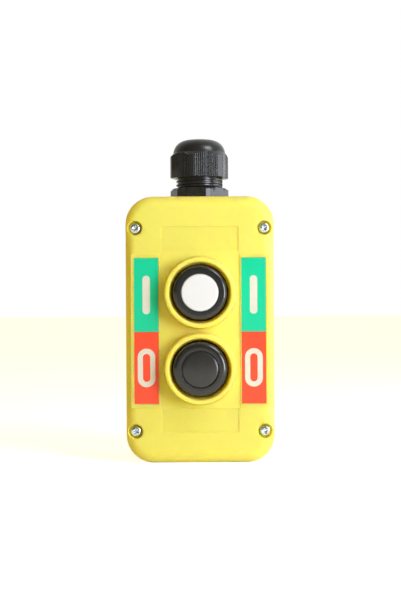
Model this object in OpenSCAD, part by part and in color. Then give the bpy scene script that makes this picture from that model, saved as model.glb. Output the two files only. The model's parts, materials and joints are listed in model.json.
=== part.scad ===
// Pendant push-button station with two booted buttons and a cable gland on top.
// It stands upright: X to the right, Y from front to back, Z up the body.
// The origin is under the middle of the body, halfway from front to back.

/* [Body] */
// Width of the casing
body_w = 80; // [78:1:100]
// Height of the casing without the gland
body_h = 143.5; // [142:0.5:180]
// Depth of the front cover, from its face to the seam
cover_d = 12; // [11:0.5:16]
// Radius of the upright corners
corner_r = 15; // [12:0.5:17]
// Rounding of the cover's front edge
front_edge_r = 6; // [4:0.5:7]
// Rounding of the housing's back edge
back_edge_r = 4; // [3.8:0.2:5]
// Wall thickness of both mouldings
wall = 3; // [2.8:0.1:3.4]
// Chamfer on each side of the seam
seam_chamfer = 0.4; // [0.2:0.1:0.6]

/* [Gasket and locating ribs] */
// Distance from the outside of the casing to the gasket groove
groove_inset = 0.8; // [0.7:0.1:1]
// Width of the gasket groove in the housing rim
groove_w = 1.4; // [1.2:0.1:1.6]
// Depth of the gasket groove
groove_d = 1.4; // [1:0.1:2]
// Length of the locating ribs along the sides
rib_len = 60; // [30:1:80]
// Length of the locating ribs along the top and bottom
rib_short_len = 30; // [20:1:40]
// Thickness of a locating rib
rib_t = 1.5; // [1.2:0.1:2]
// How far the ribs reach into the housing
rib_reach = 2.5; // [1.5:0.1:3.5]

/* [Cover screws] */
// From the side of the casing to a screw axis
screw_inset_x = 5.35; // [5.2:0.05:7]
// From the top or bottom of the casing to a screw axis
screw_inset_z = 17.35; // [16:0.25:20]
// Diameter of the screw thread
screw_d = 3.5; // [3:0.1:4]
// Diameter of the screw head
screw_head_d = 5.8; // [5.5:0.1:7]
// Height of the screw head
screw_head_h = 2.1; // [1.6:0.1:2.4]
// Diameter of the well that holds a head
well_d = 7.8; // [7.5:0.1:8.2]
// Depth of the well below the face
well_depth = 3; // [2.6:0.1:4]
// Wall round the well where it breaks through the edge rounding
well_rim = 0.4; // [0.3:0.1:0.6]
// How far that wall stays below the face
well_rim_drop = 0.2; // [0.1:0.1:1]
// Diameter of the moulded screw posts
post_d = 10.4; // [9.6:0.2:10.8]
// How far the cover's posts rise past the start of its edge rounding
post_rise = 2; // [1:0.1:2]
// Diameter of the brass insert in each post
insert_d = 5.8; // [5.4:0.1:6.2]
// Length of the brass insert
insert_len = 8; // [5:0.5:10]
// How far a cover screw passes through its insert
screw_reach = 1; // [0.5:0.1:3]

/* [Labels] */
// Width of a raised label pad
pad_w = 15.5; // [15:0.1:16]
// Height of a raised label pad
pad_h = 82.4; // [80.4:0.2:84]
// How far the pads stand proud of the face
pad_proud = 0.5; // [0.4:0.1:1]
// From the side of the casing to the outer edge of a pad
pad_inset = 3; // [2.6:0.1:3.4]
// Width of a label
label_w = 13; // [10.5:0.1:13.2]
// Height of a green label
green_h = 39.5; // [35:0.1:39.8]
// Height of a red label
red_h = 38.5; // [35:0.1:39]
// From the outer edge of a pad to the label
label_margin = 1.8; // [1.6:0.1:2.2]
// How far the border between green and red lies below the middle of its pad
label_drop = 0.5; // [0:0.1:1]
// Thickness of a label
label_t = 0.4; // [0.3:0.1:0.6]
// Length of the bar and of the ring on the labels
symbol_h = 20.6; // [16:0.2:24]
// Width of the bar
bar_w = 4; // [3:0.1:5]
// Width of the ring
ring_w = 9.5; // [8:0.1:10]
// Stroke of the ring
ring_stroke = 2.8; // [2:0.1:3.2]
// Width of the shallow legend recesses above and below the buttons
legend_w = 41.2; // [36:0.2:44]
// Height of a legend recess
legend_h = 13; // [8:0.2:14]
// Depth of a legend recess
legend_depth = 0.4; // [0.2:0.1:0.8]
// From a guard collar to the legend recess beside it
legend_gap = 2.6; // [2:0.1:3.4]

/* [Guard collars] */
// Distance between the two button axes
button_pitch = 40.6; // [40:0.2:44]
// How far the buttons and the label pads lie below the middle of the casing
control_drop = 0.6; // [0:0.1:1.5]
// Height of a guard collar above the face
collar_h = 8.5; // [8:0.5:12]
// Inner radius of a guard collar at its rim
collar_in_r = 16.4; // [16.2:0.1:16.8]
// How much narrower the collar is inside at the face than at its rim
collar_draft = 1.1; // [0.8:0.1:1.1]
// Thickness of the rim
collar_rim = 2.2; // [2:0.1:2.6]
// Rounding of the rim's edges
collar_edge_r = 0.6; // [0.3:0.1:0.9]
// How much wider the collar is at its root than at its rim
collar_flare = 0.7; // [0.4:0.1:0.8]
// Fillet between collar and face
collar_fillet = 0.6; // [0.4:0.1:0.6]
// Depth of the collar's floor below the face
floor_depth = 1.5; // [1:0.1:2]
// Thickness of the cover under the collars
seat_t = 3; // [2.5:0.1:4]

/* [Buttons] */
// Travel of a button
travel = 4; // [3:0.1:4.2]
// Diameter of the rubber boot
boot_d = 30; // [29:0.2:31]
// How far the boot stands proud of the collar
boot_proud = 0.5; // [0:0.1:1.5]
// Thickness of the boot's roof
boot_roof = 1.4; // [1:0.1:1.8]
// Thickness of the boot's skirt
boot_skirt = 1.6; // [1.2:0.1:1.8]
// Rounding of the boot's upper edge
boot_edge_r = 1.6; // [0.8:0.1:2]
// Thickness of the boot's foot, which seals the panel hole
boot_foot = 1.2; // [0.8:0.1:1.4]
// How far the boot's foot reaches beyond its skirt
boot_foot_reach = 0.2; // [0.1:0.1:0.2]
// Diameter of the hole in the boot's roof, which the marker disc fills
disc_hole_d = 19.8; // [16:0.2:22]
// Groove round the upper disc
upper_groove = 0.2; // [0.1:0.1:0.8]
// Groove round the lower disc
lower_groove = 0.8; // [0.1:0.1:1]
// How far the discs stand proud of the boots
disc_proud = 0.2; // [0:0.1:0.6]
// Rounding of the disc's edge
disc_edge_r = 0.4; // [0.2:0.1:0.6]
// Diameter of the peg under the disc
disc_peg_d = 4; // [3:0.2:6]
// Length of that peg
disc_peg_len = 0.8; // [0.5:0.1:1.2]
// Diameter of the plunger's head
head_d = 25.2; // [24:0.2:26]
// Diameter of the plunger's stem
stem_d = 12; // [10:0.2:13]
// Air under the head when the button is pressed home
stop_gap = 0.8; // [0.4:0.1:1]
// Diameter of the bushing, the usual 22 mm panel size
bushing_d = 22; // [21:0.1:22.2]
// Diameter of the bushing's flange
flange_d = 26; // [24.5:0.1:26.2]
// Thickness of the bushing's flange
flange_t = 1.5; // [1:0.1:1.8]
// Pitch of the bushing's thread
bushing_pitch = 1.5; // [1:0.1:1.8]
// Depth of the grooves of that thread
bushing_groove = 0.5; // [0.3:0.1:0.7]
// Thickness of the bushing nut
nut_t = 4; // [3:0.5:5]
// Width across the flats of the bushing nut
nut_af = 27; // [26:0.5:30]
// Bushing length beyond its nut
bushing_tail = 3.5; // [2:0.5:5]
// Length of the guide at the bushing's inner end
guide_len = 4; // [3:0.5:6]
// Diameter of the spring pocket in the bushing
pocket_d = 18.4; // [17.8:0.2:19]
// Wire diameter of the return spring
return_wire = 1.2; // [0.8:0.1:1.2]
// Mean diameter of the return spring
return_mean_d = 15.6; // [15.2:0.2:16]
// Turns of the return spring
return_turns = 6; // [5:1:7]
// Thickness of the retaining clip on the stem
clip_t = 1; // [0.8:0.1:1.4]
// Diameter of the retaining clip
clip_d = 15.6; // [14.6:0.2:18]
// Width of the clip's mouth
clip_mouth = 7.2; // [5:0.2:9]
// Depth of the groove that the clip snaps into
clip_groove = 0.8; // [0.5:0.1:1]
// Stem length beyond the clip
stem_tail = 1.8; // [1:0.1:3]

/* [Contact blocks] */
// From the stem's end to the contact case
block_gap = 5; // [4.6:0.1:6]
// Width of the contact case without its shoulders
case_w = 26; // [25.4:0.2:28]
// Height of the contact case
case_h = 17; // [15:0.5:24]
// Depth of the contact case and its base
case_d = 27; // [25.5:0.5:27.5]
// Thickness of the case's front wall
case_top = 3; // [2:0.5:4]
// Thickness of the case's side walls at the cavity
case_side = 3.5; // [3.2:0.1:3.8]
// Thickness of the base that closes the case
base_t = 2; // [1.5:0.5:3]
// Reach of each terminal shoulder beyond the case
shoulder_w = 5.6; // [5.2:0.2:7]
// Distance from the case's front to the terminals
shoulder_depth = 8; // [6:0.5:9]
// Height of a terminal shoulder
shoulder_h = 7; // [6.5:0.5:8]
// Width of the contact carrier
carrier_w = 7; // [6:0.5:8]
// Height of the contact carrier
carrier_h = 10; // [9:0.5:11]
// From the case's front to the carrier's window
window_start = 7; // [6:0.5:8]
// Length of the carrier's window
window_len = 7; // [6:0.5:7.5]
// Length of the carrier beyond its window
carrier_tail = 2; // [1.5:0.5:3]
// Width of the contact strips and the bridge
strip_w = 5; // [4:0.2:5.6]
// Thickness of the contact strips and the bridge
strip_t = 1; // [0.8:0.1:1.2]
// Height of the opening above a strip at its terminal
strip_well = 3; // [2:0.5:4]
// Diameter of the contact tips
tip_d = 3; // [2.4:0.1:3.4]
// Height of the contact tips
tip_h = 0.8; // [0.6:0.1:1]
// From the middle of the block to a contact tip
tip_x = 7.4; // [7:0.1:7.6]
// Part of the button's travel that the bridge makes
bridge_share = 0.6; // [0.5:0.05:0.7]
// Wire diameter of the small springs
small_wire = 0.6; // [0.4:0.1:0.7]
// Mean diameter of the contact spring
contact_mean_d = 3.8; // [3.4:0.1:4]
// Mean diameter of the carrier spring
carrier_mean_d = 5; // [4.4:0.2:6]
// Turns of the small springs
small_turns = 5; // [4:1:6]
// Diameter of the pin inside the carrier spring
tail_pin_d = 2.6; // [2:0.2:3.2]
// Length of that pin
tail_pin_len = 3; // [2:0.1:3]
// Diameter of the terminal screw thread
terminal_d = 3.2; // [3:0.1:3.5]
// Diameter of the terminal screw head
terminal_head_d = 6; // [5:0.2:6.4]
// Height of the terminal screw head
terminal_head_h = 2; // [1.5:0.1:2.5]
// Floor of the shoulder under a terminal screw
shoulder_floor = 1; // [0.5:0.1:2]
// Thickness of the hooks that hold a block on the rail
hook_t = 1.2; // [0.8:0.1:1.6]
// Reach of a hook behind the rail
hook_reach = 1; // [0.6:0.1:2]
// Thickness of a hook's leg
hook_w = 1.5; // [1:0.1:2]
// Width of the mounting rail
rail_w = 24; // [22:0.5:24]
// Thickness of the mounting rail
rail_t = 1.6; // [1.2:0.1:1.6]
// Rounding of the rail's corners
rail_corner_r = 2; // [1:0.5:4]
// From a contact case to a rail screw
rail_screw_gap = 6; // [5:0.5:8]
// Diameter of the rail screws
rail_screw_d = 3; // [2.5:0.1:3.5]
// Diameter of the rail screw head
rail_head_d = 6; // [5:0.1:6.6]
// Height of the rail screw head
rail_head_h = 2; // [1.5:0.1:2.5]
// Wall left under a rail screw's hole
rail_floor = 1; // [0.8:0.1:1.4]
// Diameter of the moulded bosses under the rail
rail_boss_d = 8; // [7:0.5:10]
// Height of those bosses above the housing's back wall
rail_boss_h = 2.5; // [2:0.1:15]

/* [Cable gland] */
// Width across the flats of the gland's hexagon and dome nut
gland_af = 29.8; // [28.8:0.2:31]
// Rounding of the hexagons' corners
gland_corner_r = 2.8; // [1:0.2:3.2]
// Height of the gland's hexagon
gland_hex_h = 6.3; // [5:0.1:8]
// Turn of the gland's hexagon from square
gland_hex_turn = -13; // [-30:1:30]
// Diameter of the connection thread
entry_d = 22.5; // [21.5:0.1:23]
// Length of the connection thread below the hexagon
entry_len = 10; // [9.5:0.5:14]
// Pitch of the connection thread
entry_pitch = 1.5; // [1:0.1:2]
// Depth of the grooves of the connection thread
entry_groove = 0.6; // [0.4:0.1:0.8]
// Thickness of the locknut
locknut_t = 5; // [4:0.5:5.5]
// Wall of the locknut at its flats
locknut_wall = 2.4; // [1.8:0.1:3.4]
// Diameter of the upper thread
gland_thread_d = 26; // [24.6:0.1:26.2]
// Pitch of the upper thread
gland_pitch = 2; // [1.5:0.1:2.5]
// Depth of the grooves of the upper thread
gland_groove = 0.9; // [0.6:0.1:1.1]
// Length of the upper thread
gland_thread_h = 14.5; // [13:0.5:17]
// Thread that shows between hexagon and dome nut
thread_shown = 5.9; // [4:0.1:7]
// Height of the dome nut
dome_nut_h = 21.4; // [21:0.1:26]
// Turn of the dome nut from square
dome_turn = 14; // [-30:1:30]
// Rounding of the dome
dome_r = 8.1; // [5:0.1:8.6]
// Height of the dome nut's hexagon up to its chamfered corners
dome_hex_h = 11.2; // [10.5:0.1:12]
// How far the cone that cuts the nut's corners reaches in from the flats
dome_cone_reach = 1; // [0.5:0.1:1.5]
// Height of that cone for each millimetre that it reaches in
dome_cone_slope = 1.08; // [0.8:0.02:1.4]
// Grip ribs on each flat of the dome nut
grip_count = 12; // [6:1:13]
// Depth of a grip rib
grip_depth = 0.35; // [0.2:0.05:0.5]
// Height above and below the grip ribs to the hexagon's ends
grip_margin = 0.4; // [0.2:0.1:1]
// How much narrower the dome is than the hexagon's flats
dome_step = 0.3; // [0.1:0.1:0.6]
// Radius of the cable hole in the dome
cable_r = 7; // [6.7:0.1:7.2]
// Thickness of the dome above the claw's cone
dome_roof = 2.3; // [2:0.1:3]
// Inner radius of the rubber seal
seal_r = 6.5; // [5:0.1:6.6]
// Thickness of the seal
seal_t = 1.7; // [1.2:0.1:1.8]
// How far the seal reaches past the claw's flange into the cone
seal_reach = 1; // [0.6:0.1:1.4]
// Travel of the dome nut each way along its thread
nut_travel = 3; // [1:0.1:3]
// Inner radius of the gland body where the claw slides
socket_r = 10; // [9.8:0.1:10.2]
// Number of fingers on the claw
claw_fingers = 10; // [6:1:14]
// Width of the slots between the fingers
claw_slot = 1; // [0.6:0.1:1.6]
// Thickness of the claw's flange, and of the ledge under the seal
claw_flange_t = 1.5; // [1.2:0.1:1.8]
// How far the flange reaches beyond the gland body's bore
claw_flange_reach = 0.8; // [0.7:0.1:1]
// Height of the ridge in the dome nut that the flange sits on
ridge_h = 0.5; // [0.4:0.1:0.8]
// How far the ridge's inner edge lies outside the gland body's bore
ridge_in = 0.5; // [0.3:0.1:0.6]
// From the fingers' tips to the end of the cone
claw_tip_gap = 1; // [0.6:0.1:1.5]
// From the dome nut's lower edge to the claw's
claw_rise = 2.3; // [1:0.1:4]
// Section of the O-ring under the hexagon
oring_t = 1.2; // [0.8:0.1:1.6]

/* [Clearances] */
// Slack of a part that slides or turns in another
run_gap = 0.05; // [0.02:0.01:0.08]
// Slack of a guided block or a loose part
slide_gap = 0.1; // [0.05:0.05:0.2]
// Slack beside soft parts and threads
loose_gap = 0.3; // [0.2:0.05:0.35]
// Air beyond the tip of a screw in its hole
tip_gap = 0.5; // [0.3:0.1:0.8]

/* [Hidden] */
$fn = 96;

// Colours
yellow = [0.98, 0.93, 0.35];
black_rubber = [0.16, 0.16, 0.16];
black_nylon = [0.13, 0.13, 0.14];
white_plastic = [0.95, 0.96, 0.96];
grey_plastic = [0.45, 0.46, 0.48];
label_green = [0.1, 0.8, 0.62];
label_red = [0.96, 0.38, 0.25];
ivory = [0.93, 0.88, 0.83];
zinc = [0.75, 0.76, 0.78];
brass = [0.78, 0.62, 0.3];

// Overlap that joins or clears a cut
eps = 0.01;
over = 1;
// Heights and sideways places
mid_z = body_h / 2;
control_z = mid_z - control_drop;
upper_z = control_z + button_pitch / 2;
lower_z = control_z - button_pitch / 2;
screw_x = body_w / 2 - screw_inset_x;
screw_dz = mid_z - screw_inset_z;
label_x = body_w / 2 - pad_inset - label_margin - label_w / 2;
pad_x = body_w / 2 - pad_inset - pad_w / 2;
label_z = control_z - label_drop;
insert_start = 1;
cover_screw_tip = insert_len + screw_reach;
collar_root_r = collar_in_r + collar_rim + collar_flare;
collar_floor_r = collar_in_r - collar_draft;
legend_dz = button_pitch / 2 + collar_root_r + legend_gap + legend_h / 2;

// Button stack, as heights above the face and depths behind it
boot_r = boot_d / 2;
boot_top = collar_h + boot_proud;
disc_top = boot_top + disc_proud;
foot_depth = floor_depth - boot_foot;
flange_top = flange_t - foot_depth;
head_under = flange_top + stop_gap + travel;
head_top = boot_top - boot_roof;
seat_depth = floor_depth + seat_t;
bushing_end = seat_depth + nut_t + bushing_tail;
pocket_depth = bushing_end - guide_len;
clip_depth = bushing_end + slide_gap;
stem_end = clip_depth + clip_t + stem_tail;
hole_r = bushing_d / 2 + slide_gap + run_gap;

// Contact block, as depths behind the face and then from the case's front
case_depth = stem_end + block_gap;
base_depth = case_d - base_t;
window_end = window_start + window_len;
tail_end = window_end + carrier_tail;
bridge_travel = travel * bridge_share;
bridge_back = window_end - slide_gap;
bridge_len = case_w - 2 * case_side - 2 * run_gap - 2 * loose_gap;
fixed_tip = bridge_back + tip_h + bridge_travel + run_gap;
fixed_strip = fixed_tip + tip_h;
strip_out_x = case_w / 2 - case_side + 2 * strip_t;
shoulder_x = case_w / 2 + shoulder_w;
terminal_x = shoulder_x - terminal_head_d / 2 - slide_gap;
terminal_len = shoulder_h - shoulder_floor;
rail_depth = case_depth + case_d;
rail_back = rail_depth + rail_t;
inner_back = rail_back + rail_boss_h;
body_d = inner_back + wall;
housing_d = body_d - cover_d;
face_y = (disc_top - body_d) / 2;
rail_screw_dz = button_pitch / 2 + case_h / 2 + rail_screw_gap;
rail_len = 2 * rail_screw_dz + 2 * rail_screw_gap;

// Gland heights above the casing
gland_depth = cover_d + housing_d / 2;
gland_r = gland_af / 2 / cos(30);
gland_flat = (gland_af / 2 - gland_corner_r) / cos(30);
thread_top = gland_hex_h + gland_thread_h;
dome_start = gland_hex_h + thread_shown;
dome_top = dome_start + dome_nut_h;
ridge_start = thread_top + nut_travel + loose_gap / 2;
claw_flange = ridge_start + ridge_h + slide_gap;
claw_flange_r = socket_r + claw_flange_reach;
claw_bottom = dome_start + claw_rise;
seal_start = claw_bottom + claw_flange_t;
cone_start = claw_flange + claw_flange_t + slide_gap;
seal_top = cone_start + seal_reach;
cone_end = dome_top - dome_roof;
claw_top = cone_end - claw_tip_gap;
cone_r = claw_flange_r - 2 * slide_gap;
cone_end_r = cable_r + loose_gap + slide_gap;
cone_slope = (cone_r - cone_end_r) / (cone_end - cone_start);
claw_in_r = seal_r + seal_t;
nut_bore_r = gland_thread_d / 2 + 2 * slide_gap;
flange_bore_r = claw_flange_r + 2 * slide_gap;
socket_bottom = claw_bottom - nut_travel - loose_gap;

// Placement: z runs out of the face, or into the casing
module outward(depth, height) {
  translate([0, face_y + depth, height]) rotate([90, 0, 0]) children();
}
module inward(depth, height) {
  translate([0, face_y + depth, height]) rotate([-90, 0, 0]) children();
}
module at_screws() {
  for (side = [-1, 1], end = [-1, 1]) translate([side * screw_x, end * screw_dz, 0]) children();
}
module above_casing() {
  translate([0, face_y + gland_depth, body_h]) children();
}

// Block with rounded upright corners and one rounded rim
module quarter_disc(r) {
  intersection() {
    circle(r);
    square(2 * r);
  }
}
module rim_profile(reach, depth, edge_r, chamfer) {
  difference() {
    union() {
      square([reach, depth - edge_r]);
      square([reach - edge_r, depth]);
      translate([reach - edge_r, depth - edge_r]) quarter_disc(edge_r);
    }
    if (chamfer > 0) translate([reach, 0]) circle(chamfer, $fn = 4);
  }
}
module soft_block(w, h, depth, round_r, edge_r, chamfer = 0) {
  long_x = w - 2 * round_r;
  long_y = h - 2 * round_r;
  translate([-long_x / 2, -long_y / 2, 0]) cube([long_x, long_y, depth]);
  for (turn = [0, 180]) rotate(turn) {
    translate([long_x / 2, long_y / 2, 0]) rotate([90, 0, 0])
      linear_extrude(long_y) rim_profile(round_r, depth, edge_r, chamfer);
    rotate(90) translate([long_y / 2, long_x / 2, 0]) rotate([90, 0, 0])
      linear_extrude(long_x) rim_profile(round_r, depth, edge_r, chamfer);
    for (side = [0, 1]) translate([(1 - 2 * side) * long_x / 2, long_y / 2, 0]) rotate(90 * side)
      rotate_extrude(angle = 90) rim_profile(round_r, depth, edge_r, chamfer);
  }
}
module rounded_rect(w, h, r) {
  square([w - 2 * r, h], center = true);
  square([w, h - 2 * r], center = true);
  for (x = [-1, 1], y = [-1, 1]) translate([x * (w / 2 - r), y * (h / 2 - r)]) circle(r);
}
module round_hexagon(flat_r, edge_r, side) {
  polygon([for (face = [0 : 5], end = [-1, 1])
    let (turn = 60 * face + 30, along = end * side / 2)
    [flat_r * cos(turn) - along * sin(turn), flat_r * sin(turn) + along * cos(turn)]]);
  for (face = [0 : 5]) rotate(60 * face) translate([side, 0]) circle(edge_r);
}
module gland_hexagon(h) {
  linear_extrude(h) round_hexagon(gland_af / 2, gland_corner_r, gland_flat);
}
module stadium(w, h) {
  square([w, h - w], center = true);
  for (y = [-1, 1]) translate([0, y * (h - w) / 2]) circle(w / 2);
}
module ring(outer_r, inner_r, h) {
  difference() {
    cylinder(r = outer_r, h = h);
    translate([0, 0, -over]) cylinder(r = inner_r, h = h + 2 * over);
  }
}
// Rod with thread grooves all along it
module grooved_rod(r, len, pitch, depth) {
  count = floor(len / pitch);
  step = len / count;
  rotate_extrude() polygon(concat(
    [[0, 0]],
    [for (i = [0 : count - 1]) each [
      [r - depth, i * step], [r, (i + 0.35) * step], [r, (i + 0.65) * step]
    ]],
    [[r - depth, len], [0, len]]
  ));
}
// Coil of round wire with a closed turn at each end
function coil_z(turn, len, wire, turns) =
  let (lay = wire + run_gap)
  turn < 1 ? lay * turn
  : turn > turns - 1 ? len - wire - lay * (turns - turn)
  : lay + (len - wire - 2 * lay) * (turn - 1) / (turns - 2);
module coil(mean_d, wire, len, turns) {
  sides = 6;
  steps = 14;
  rings = turns * steps;
  points = [for (i = [0 : rings], j = [0 : sides - 1])
    let (
      around = 360 * i / steps,
      bend = 360 * j / sides,
      reach = mean_d / 2 + wire / 2 * cos(bend)
    )
    [reach * cos(around), reach * sin(around),
      wire / 2 + coil_z(i / steps, len, wire, turns) + wire / 2 * sin(bend)]];
  walls = [for (i = [0 : rings - 1], j = [0 : sides - 1])
    let (next = (j + 1) % sides)
    each [
      [i * sides + j, (i + 1) * sides + next, i * sides + next],
      [i * sides + j, (i + 1) * sides + j, (i + 1) * sides + next]
    ]];
  start_cap = [for (j = [0 : sides - 1]) j];
  end_cap = [for (j = [sides - 1 : -1 : 0]) rings * sides + j];
  polyhedron(points, concat(walls, [start_cap, end_cap]));
}
module pan_screw(shank_d, len, head_d, head_h) {
  crown = head_h * 0.4;
  crown_r = (head_d * head_d / 4 + crown * crown) / (2 * crown);
  arm_len = head_d * 0.56;
  arm_w = head_d * 0.13;
  difference() {
    union() {
      rotate_extrude() intersection() {
        square([head_d / 2, head_h]);
        translate([0, head_h - crown_r]) circle(crown_r);
      }
      translate([0, 0, -len]) cylinder(d = shank_d, h = len + eps);
    }
    for (turn = [0, 90]) rotate(turn) translate([0, 0, head_h])
      cube([arm_len, arm_w, head_h], center = true);
  }
}

// Casing
module collar() {
  edge_in = collar_in_r + collar_edge_r;
  edge_out = collar_in_r + collar_rim - collar_edge_r;
  shoulder_z = collar_h - collar_edge_r;
  rotate_extrude() {
    for (x = [edge_in, edge_out]) translate([x, shoulder_z]) circle(collar_edge_r);
    polygon([
      [collar_floor_r, -floor_depth], [collar_floor_r, 0], [collar_in_r, shoulder_z],
      [edge_in, shoulder_z], [edge_in, collar_h], [edge_out, collar_h], [edge_out, shoulder_z],
      [collar_in_r + collar_rim, shoulder_z], [collar_root_r, 0], [collar_root_r, -floor_depth]
    ]);
    difference() {
      translate([collar_root_r - eps, -floor_depth])
        square([collar_fillet + eps, collar_fillet + floor_depth]);
      translate([collar_root_r + collar_fillet, collar_fillet]) circle(collar_fillet);
    }
  }
}
module locating_ribs() {
  inner_x = body_w / 2 - wall;
  inner_z = body_h / 2 - wall;
  root = cover_d - wall;
  for (turn = [0, 90, 180, 270]) {
    inside = turn % 180 == 0 ? inner_x : inner_z;
    len = turn % 180 == 0 ? rib_len : rib_short_len;
    rotate(turn) translate([inside - slide_gap - rib_t, -len / 2, 0]) {
      translate([0, 0, -rib_reach]) cube([rib_t, len, rib_reach + root]);
      cube([rib_t + slide_gap + eps, len, root]);
    }
  }
}
module front_cover() {
  color(yellow) outward(cover_d, mid_z) difference() {
    union() {
      difference() {
        soft_block(body_w, body_h, cover_d, corner_r, front_edge_r, seam_chamfer);
        translate([0, 0, -over]) soft_block(body_w - 2 * wall, body_h - 2 * wall,
          cover_d - wall + over, corner_r - wall, front_edge_r - wall);
        for (end = [-1, 1]) translate([-legend_w / 2, end * legend_dz - legend_h / 2,
          cover_d - legend_depth]) cube([legend_w, legend_h, over]);
      }
      at_screws() {
        cylinder(d = post_d, h = cover_d - front_edge_r + post_rise);
        cylinder(d = well_d + 2 * well_rim, h = cover_d - well_rim_drop);
      }
      for (side = [-1, 1])
        translate([side * pad_x - pad_w / 2, -control_drop - pad_h / 2, cover_d - wall / 2])
          cube([pad_w, pad_h, wall / 2 + pad_proud]);
      for (height = [lower_z, upper_z]) translate([0, height - mid_z, cover_d]) {
        collar();
        translate([0, 0, -seat_depth]) cylinder(r = collar_in_r + collar_rim, h = seat_t);
      }
      locating_ribs();
    }
    for (height = [lower_z, upper_z]) translate([0, height - mid_z, cover_d]) {
      translate([0, 0, -seat_depth - over]) cylinder(r = hole_r, h = seat_t + 2 * over);
      translate([0, 0, -floor_depth]) cylinder(r = collar_floor_r, h = floor_depth + over);
    }
    at_screws() {
      translate([0, 0, cover_d - well_depth]) cylinder(d = well_d, h = well_depth + over);
      translate([0, 0, -over]) cylinder(d = screw_d + 2 * loose_gap, h = cover_d);
    }
    for (side = [-1, 1]) translate([side * label_x - label_w / 2 - slide_gap,
      label_z - mid_z - red_h - slide_gap, cover_d + pad_proud - label_t])
      cube([label_w + 2 * slide_gap, green_h + red_h + 2 * slide_gap, label_t + over]);
  }
}
module rear_housing() {
  post_r = post_d / 2;
  color(yellow) difference() {
    union() {
      inward(cover_d, mid_z) {
        difference() {
          soft_block(body_w, body_h, housing_d, corner_r, back_edge_r, seam_chamfer);
          translate([0, 0, -over]) soft_block(body_w - 2 * wall, body_h - 2 * wall,
            housing_d - wall + over, corner_r - wall, back_edge_r - wall);
        }
        at_screws() cylinder(r = post_r, h = housing_d - wall / 2);
        at_rail_screws() translate([0, 0, rail_back - cover_d])
          cylinder(d = rail_boss_d, h = inner_back - rail_back + eps);
      }
    }
    inward(cover_d, mid_z) {
      at_screws() {
        translate([0, 0, -over])
          cylinder(d = insert_d + 2 * run_gap, h = insert_start + insert_len + over);
        cylinder(d = screw_d + 2 * loose_gap, h = cover_screw_tip + tip_gap);
      }
      translate([0, 0, -over]) linear_extrude(groove_d + over) difference() {
        gasket_outline(0);
        gasket_outline(groove_w);
      }
      at_rail_screws() translate([0, 0, rail_back - cover_d - over])
        cylinder(d = rail_screw_d + 2 * run_gap, h = body_d - rail_floor - rail_back + over);
    }
    above_casing() translate([0, 0, -wall - over])
      cylinder(d = entry_d + 2 * loose_gap, h = wall + 2 * over);
  }
}
module at_rail_screws() {
  for (end = [-1, 1]) translate([0, control_drop + end * rail_screw_dz, 0]) children();
}
module gasket_outline(inset) {
  edge = groove_inset + inset;
  rounded_rect(body_w - 2 * edge, body_h - 2 * edge, corner_r - edge);
}
module cover_gasket() {
  color(black_rubber) inward(cover_d, mid_z) linear_extrude(groove_d) difference() {
    gasket_outline(run_gap);
    gasket_outline(groove_w - run_gap);
  }
}
module cover_screws() {
  color(zinc) outward(well_depth, mid_z) at_screws()
    pan_screw(screw_d, cover_d - well_depth + cover_screw_tip, screw_head_d, screw_head_h);
}
module screw_inserts() {
  color(brass) inward(cover_d, mid_z) at_screws()
    translate([0, 0, insert_start]) ring(insert_d / 2, screw_d / 2 + run_gap, insert_len);
}

// Labels
module symbol_outline(kind, slack) {
  if (kind == "bar") stadium(bar_w + 2 * slack, symbol_h + 2 * slack);
  if (kind == "ring") difference() {
    stadium(ring_w + 2 * slack, symbol_h + 2 * slack);
    stadium(ring_w - 2 * ring_stroke - 2 * slack, symbol_h - 2 * ring_stroke - 2 * slack);
  }
}
module at_label(side, kind) {
  outward(label_t - pad_proud, label_z + (kind == "bar" ? green_h : -red_h) / 2)
    translate([side * label_x, 0, 0]) children();
}
module label(side, kind) {
  label_h = kind == "bar" ? green_h : red_h;
  color(kind == "bar" ? label_green : label_red) at_label(side, kind)
    linear_extrude(label_t) difference() {
      square([label_w, label_h - slide_gap], center = true);
      symbol_outline(kind, run_gap / 2);
    }
}
module symbol(side, kind) {
  color(ivory) at_label(side, kind) linear_extrude(label_t) symbol_outline(kind, -run_gap / 2);
}

// Buttons
module boot(height) {
  color(black_rubber) outward(floor_depth, height) rotate_extrude() difference() {
    union() {
      rim_profile(boot_r, boot_top + floor_depth, boot_edge_r, 0);
      square([boot_r + boot_foot_reach, boot_foot]);
    }
    translate([-over, boot_foot])
      square([boot_r - boot_skirt + over, head_top + floor_depth - boot_foot]);
    translate([-over, -over]) square([bushing_d / 2 + loose_gap + over, boot_foot + 2 * over]);
    translate([-over, 0]) square([disc_hole_d / 2 + over, boot_top + floor_depth + over]);
  }
}
module disc(height, groove, tint) {
  disc_r = disc_hole_d / 2 - groove;
  color(tint) outward(0, height) translate([0, 0, head_top]) {
    rotate_extrude() rim_profile(disc_r, disc_top - head_top, disc_edge_r, 0);
    translate([0, 0, -disc_peg_len]) cylinder(d = disc_peg_d, h = disc_peg_len + eps);
  }
}
module plunger(height) {
  color(grey_plastic) outward(0, height) difference() {
    union() {
      translate([0, 0, head_under]) cylinder(d = head_d, h = head_top - head_under);
      translate([0, 0, -stem_end]) cylinder(d = stem_d, h = stem_end + head_under + eps);
    }
    translate([0, 0, head_top - disc_peg_len])
      cylinder(d = disc_peg_d + 2 * run_gap, h = disc_peg_len + over);
    translate([0, 0, -clip_depth - clip_t - run_gap])
      ring(stem_d / 2 + over, stem_d / 2 - clip_groove, clip_t + 2 * run_gap);
  }
}
module clip(height) {
  color(zinc) inward(clip_depth, height) difference() {
    ring(clip_d / 2, stem_d / 2 - clip_groove + run_gap, clip_t);
    translate([-clip_mouth / 2, 0, -over]) cube([clip_mouth, clip_d, clip_t + 2 * over]);
  }
}
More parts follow.
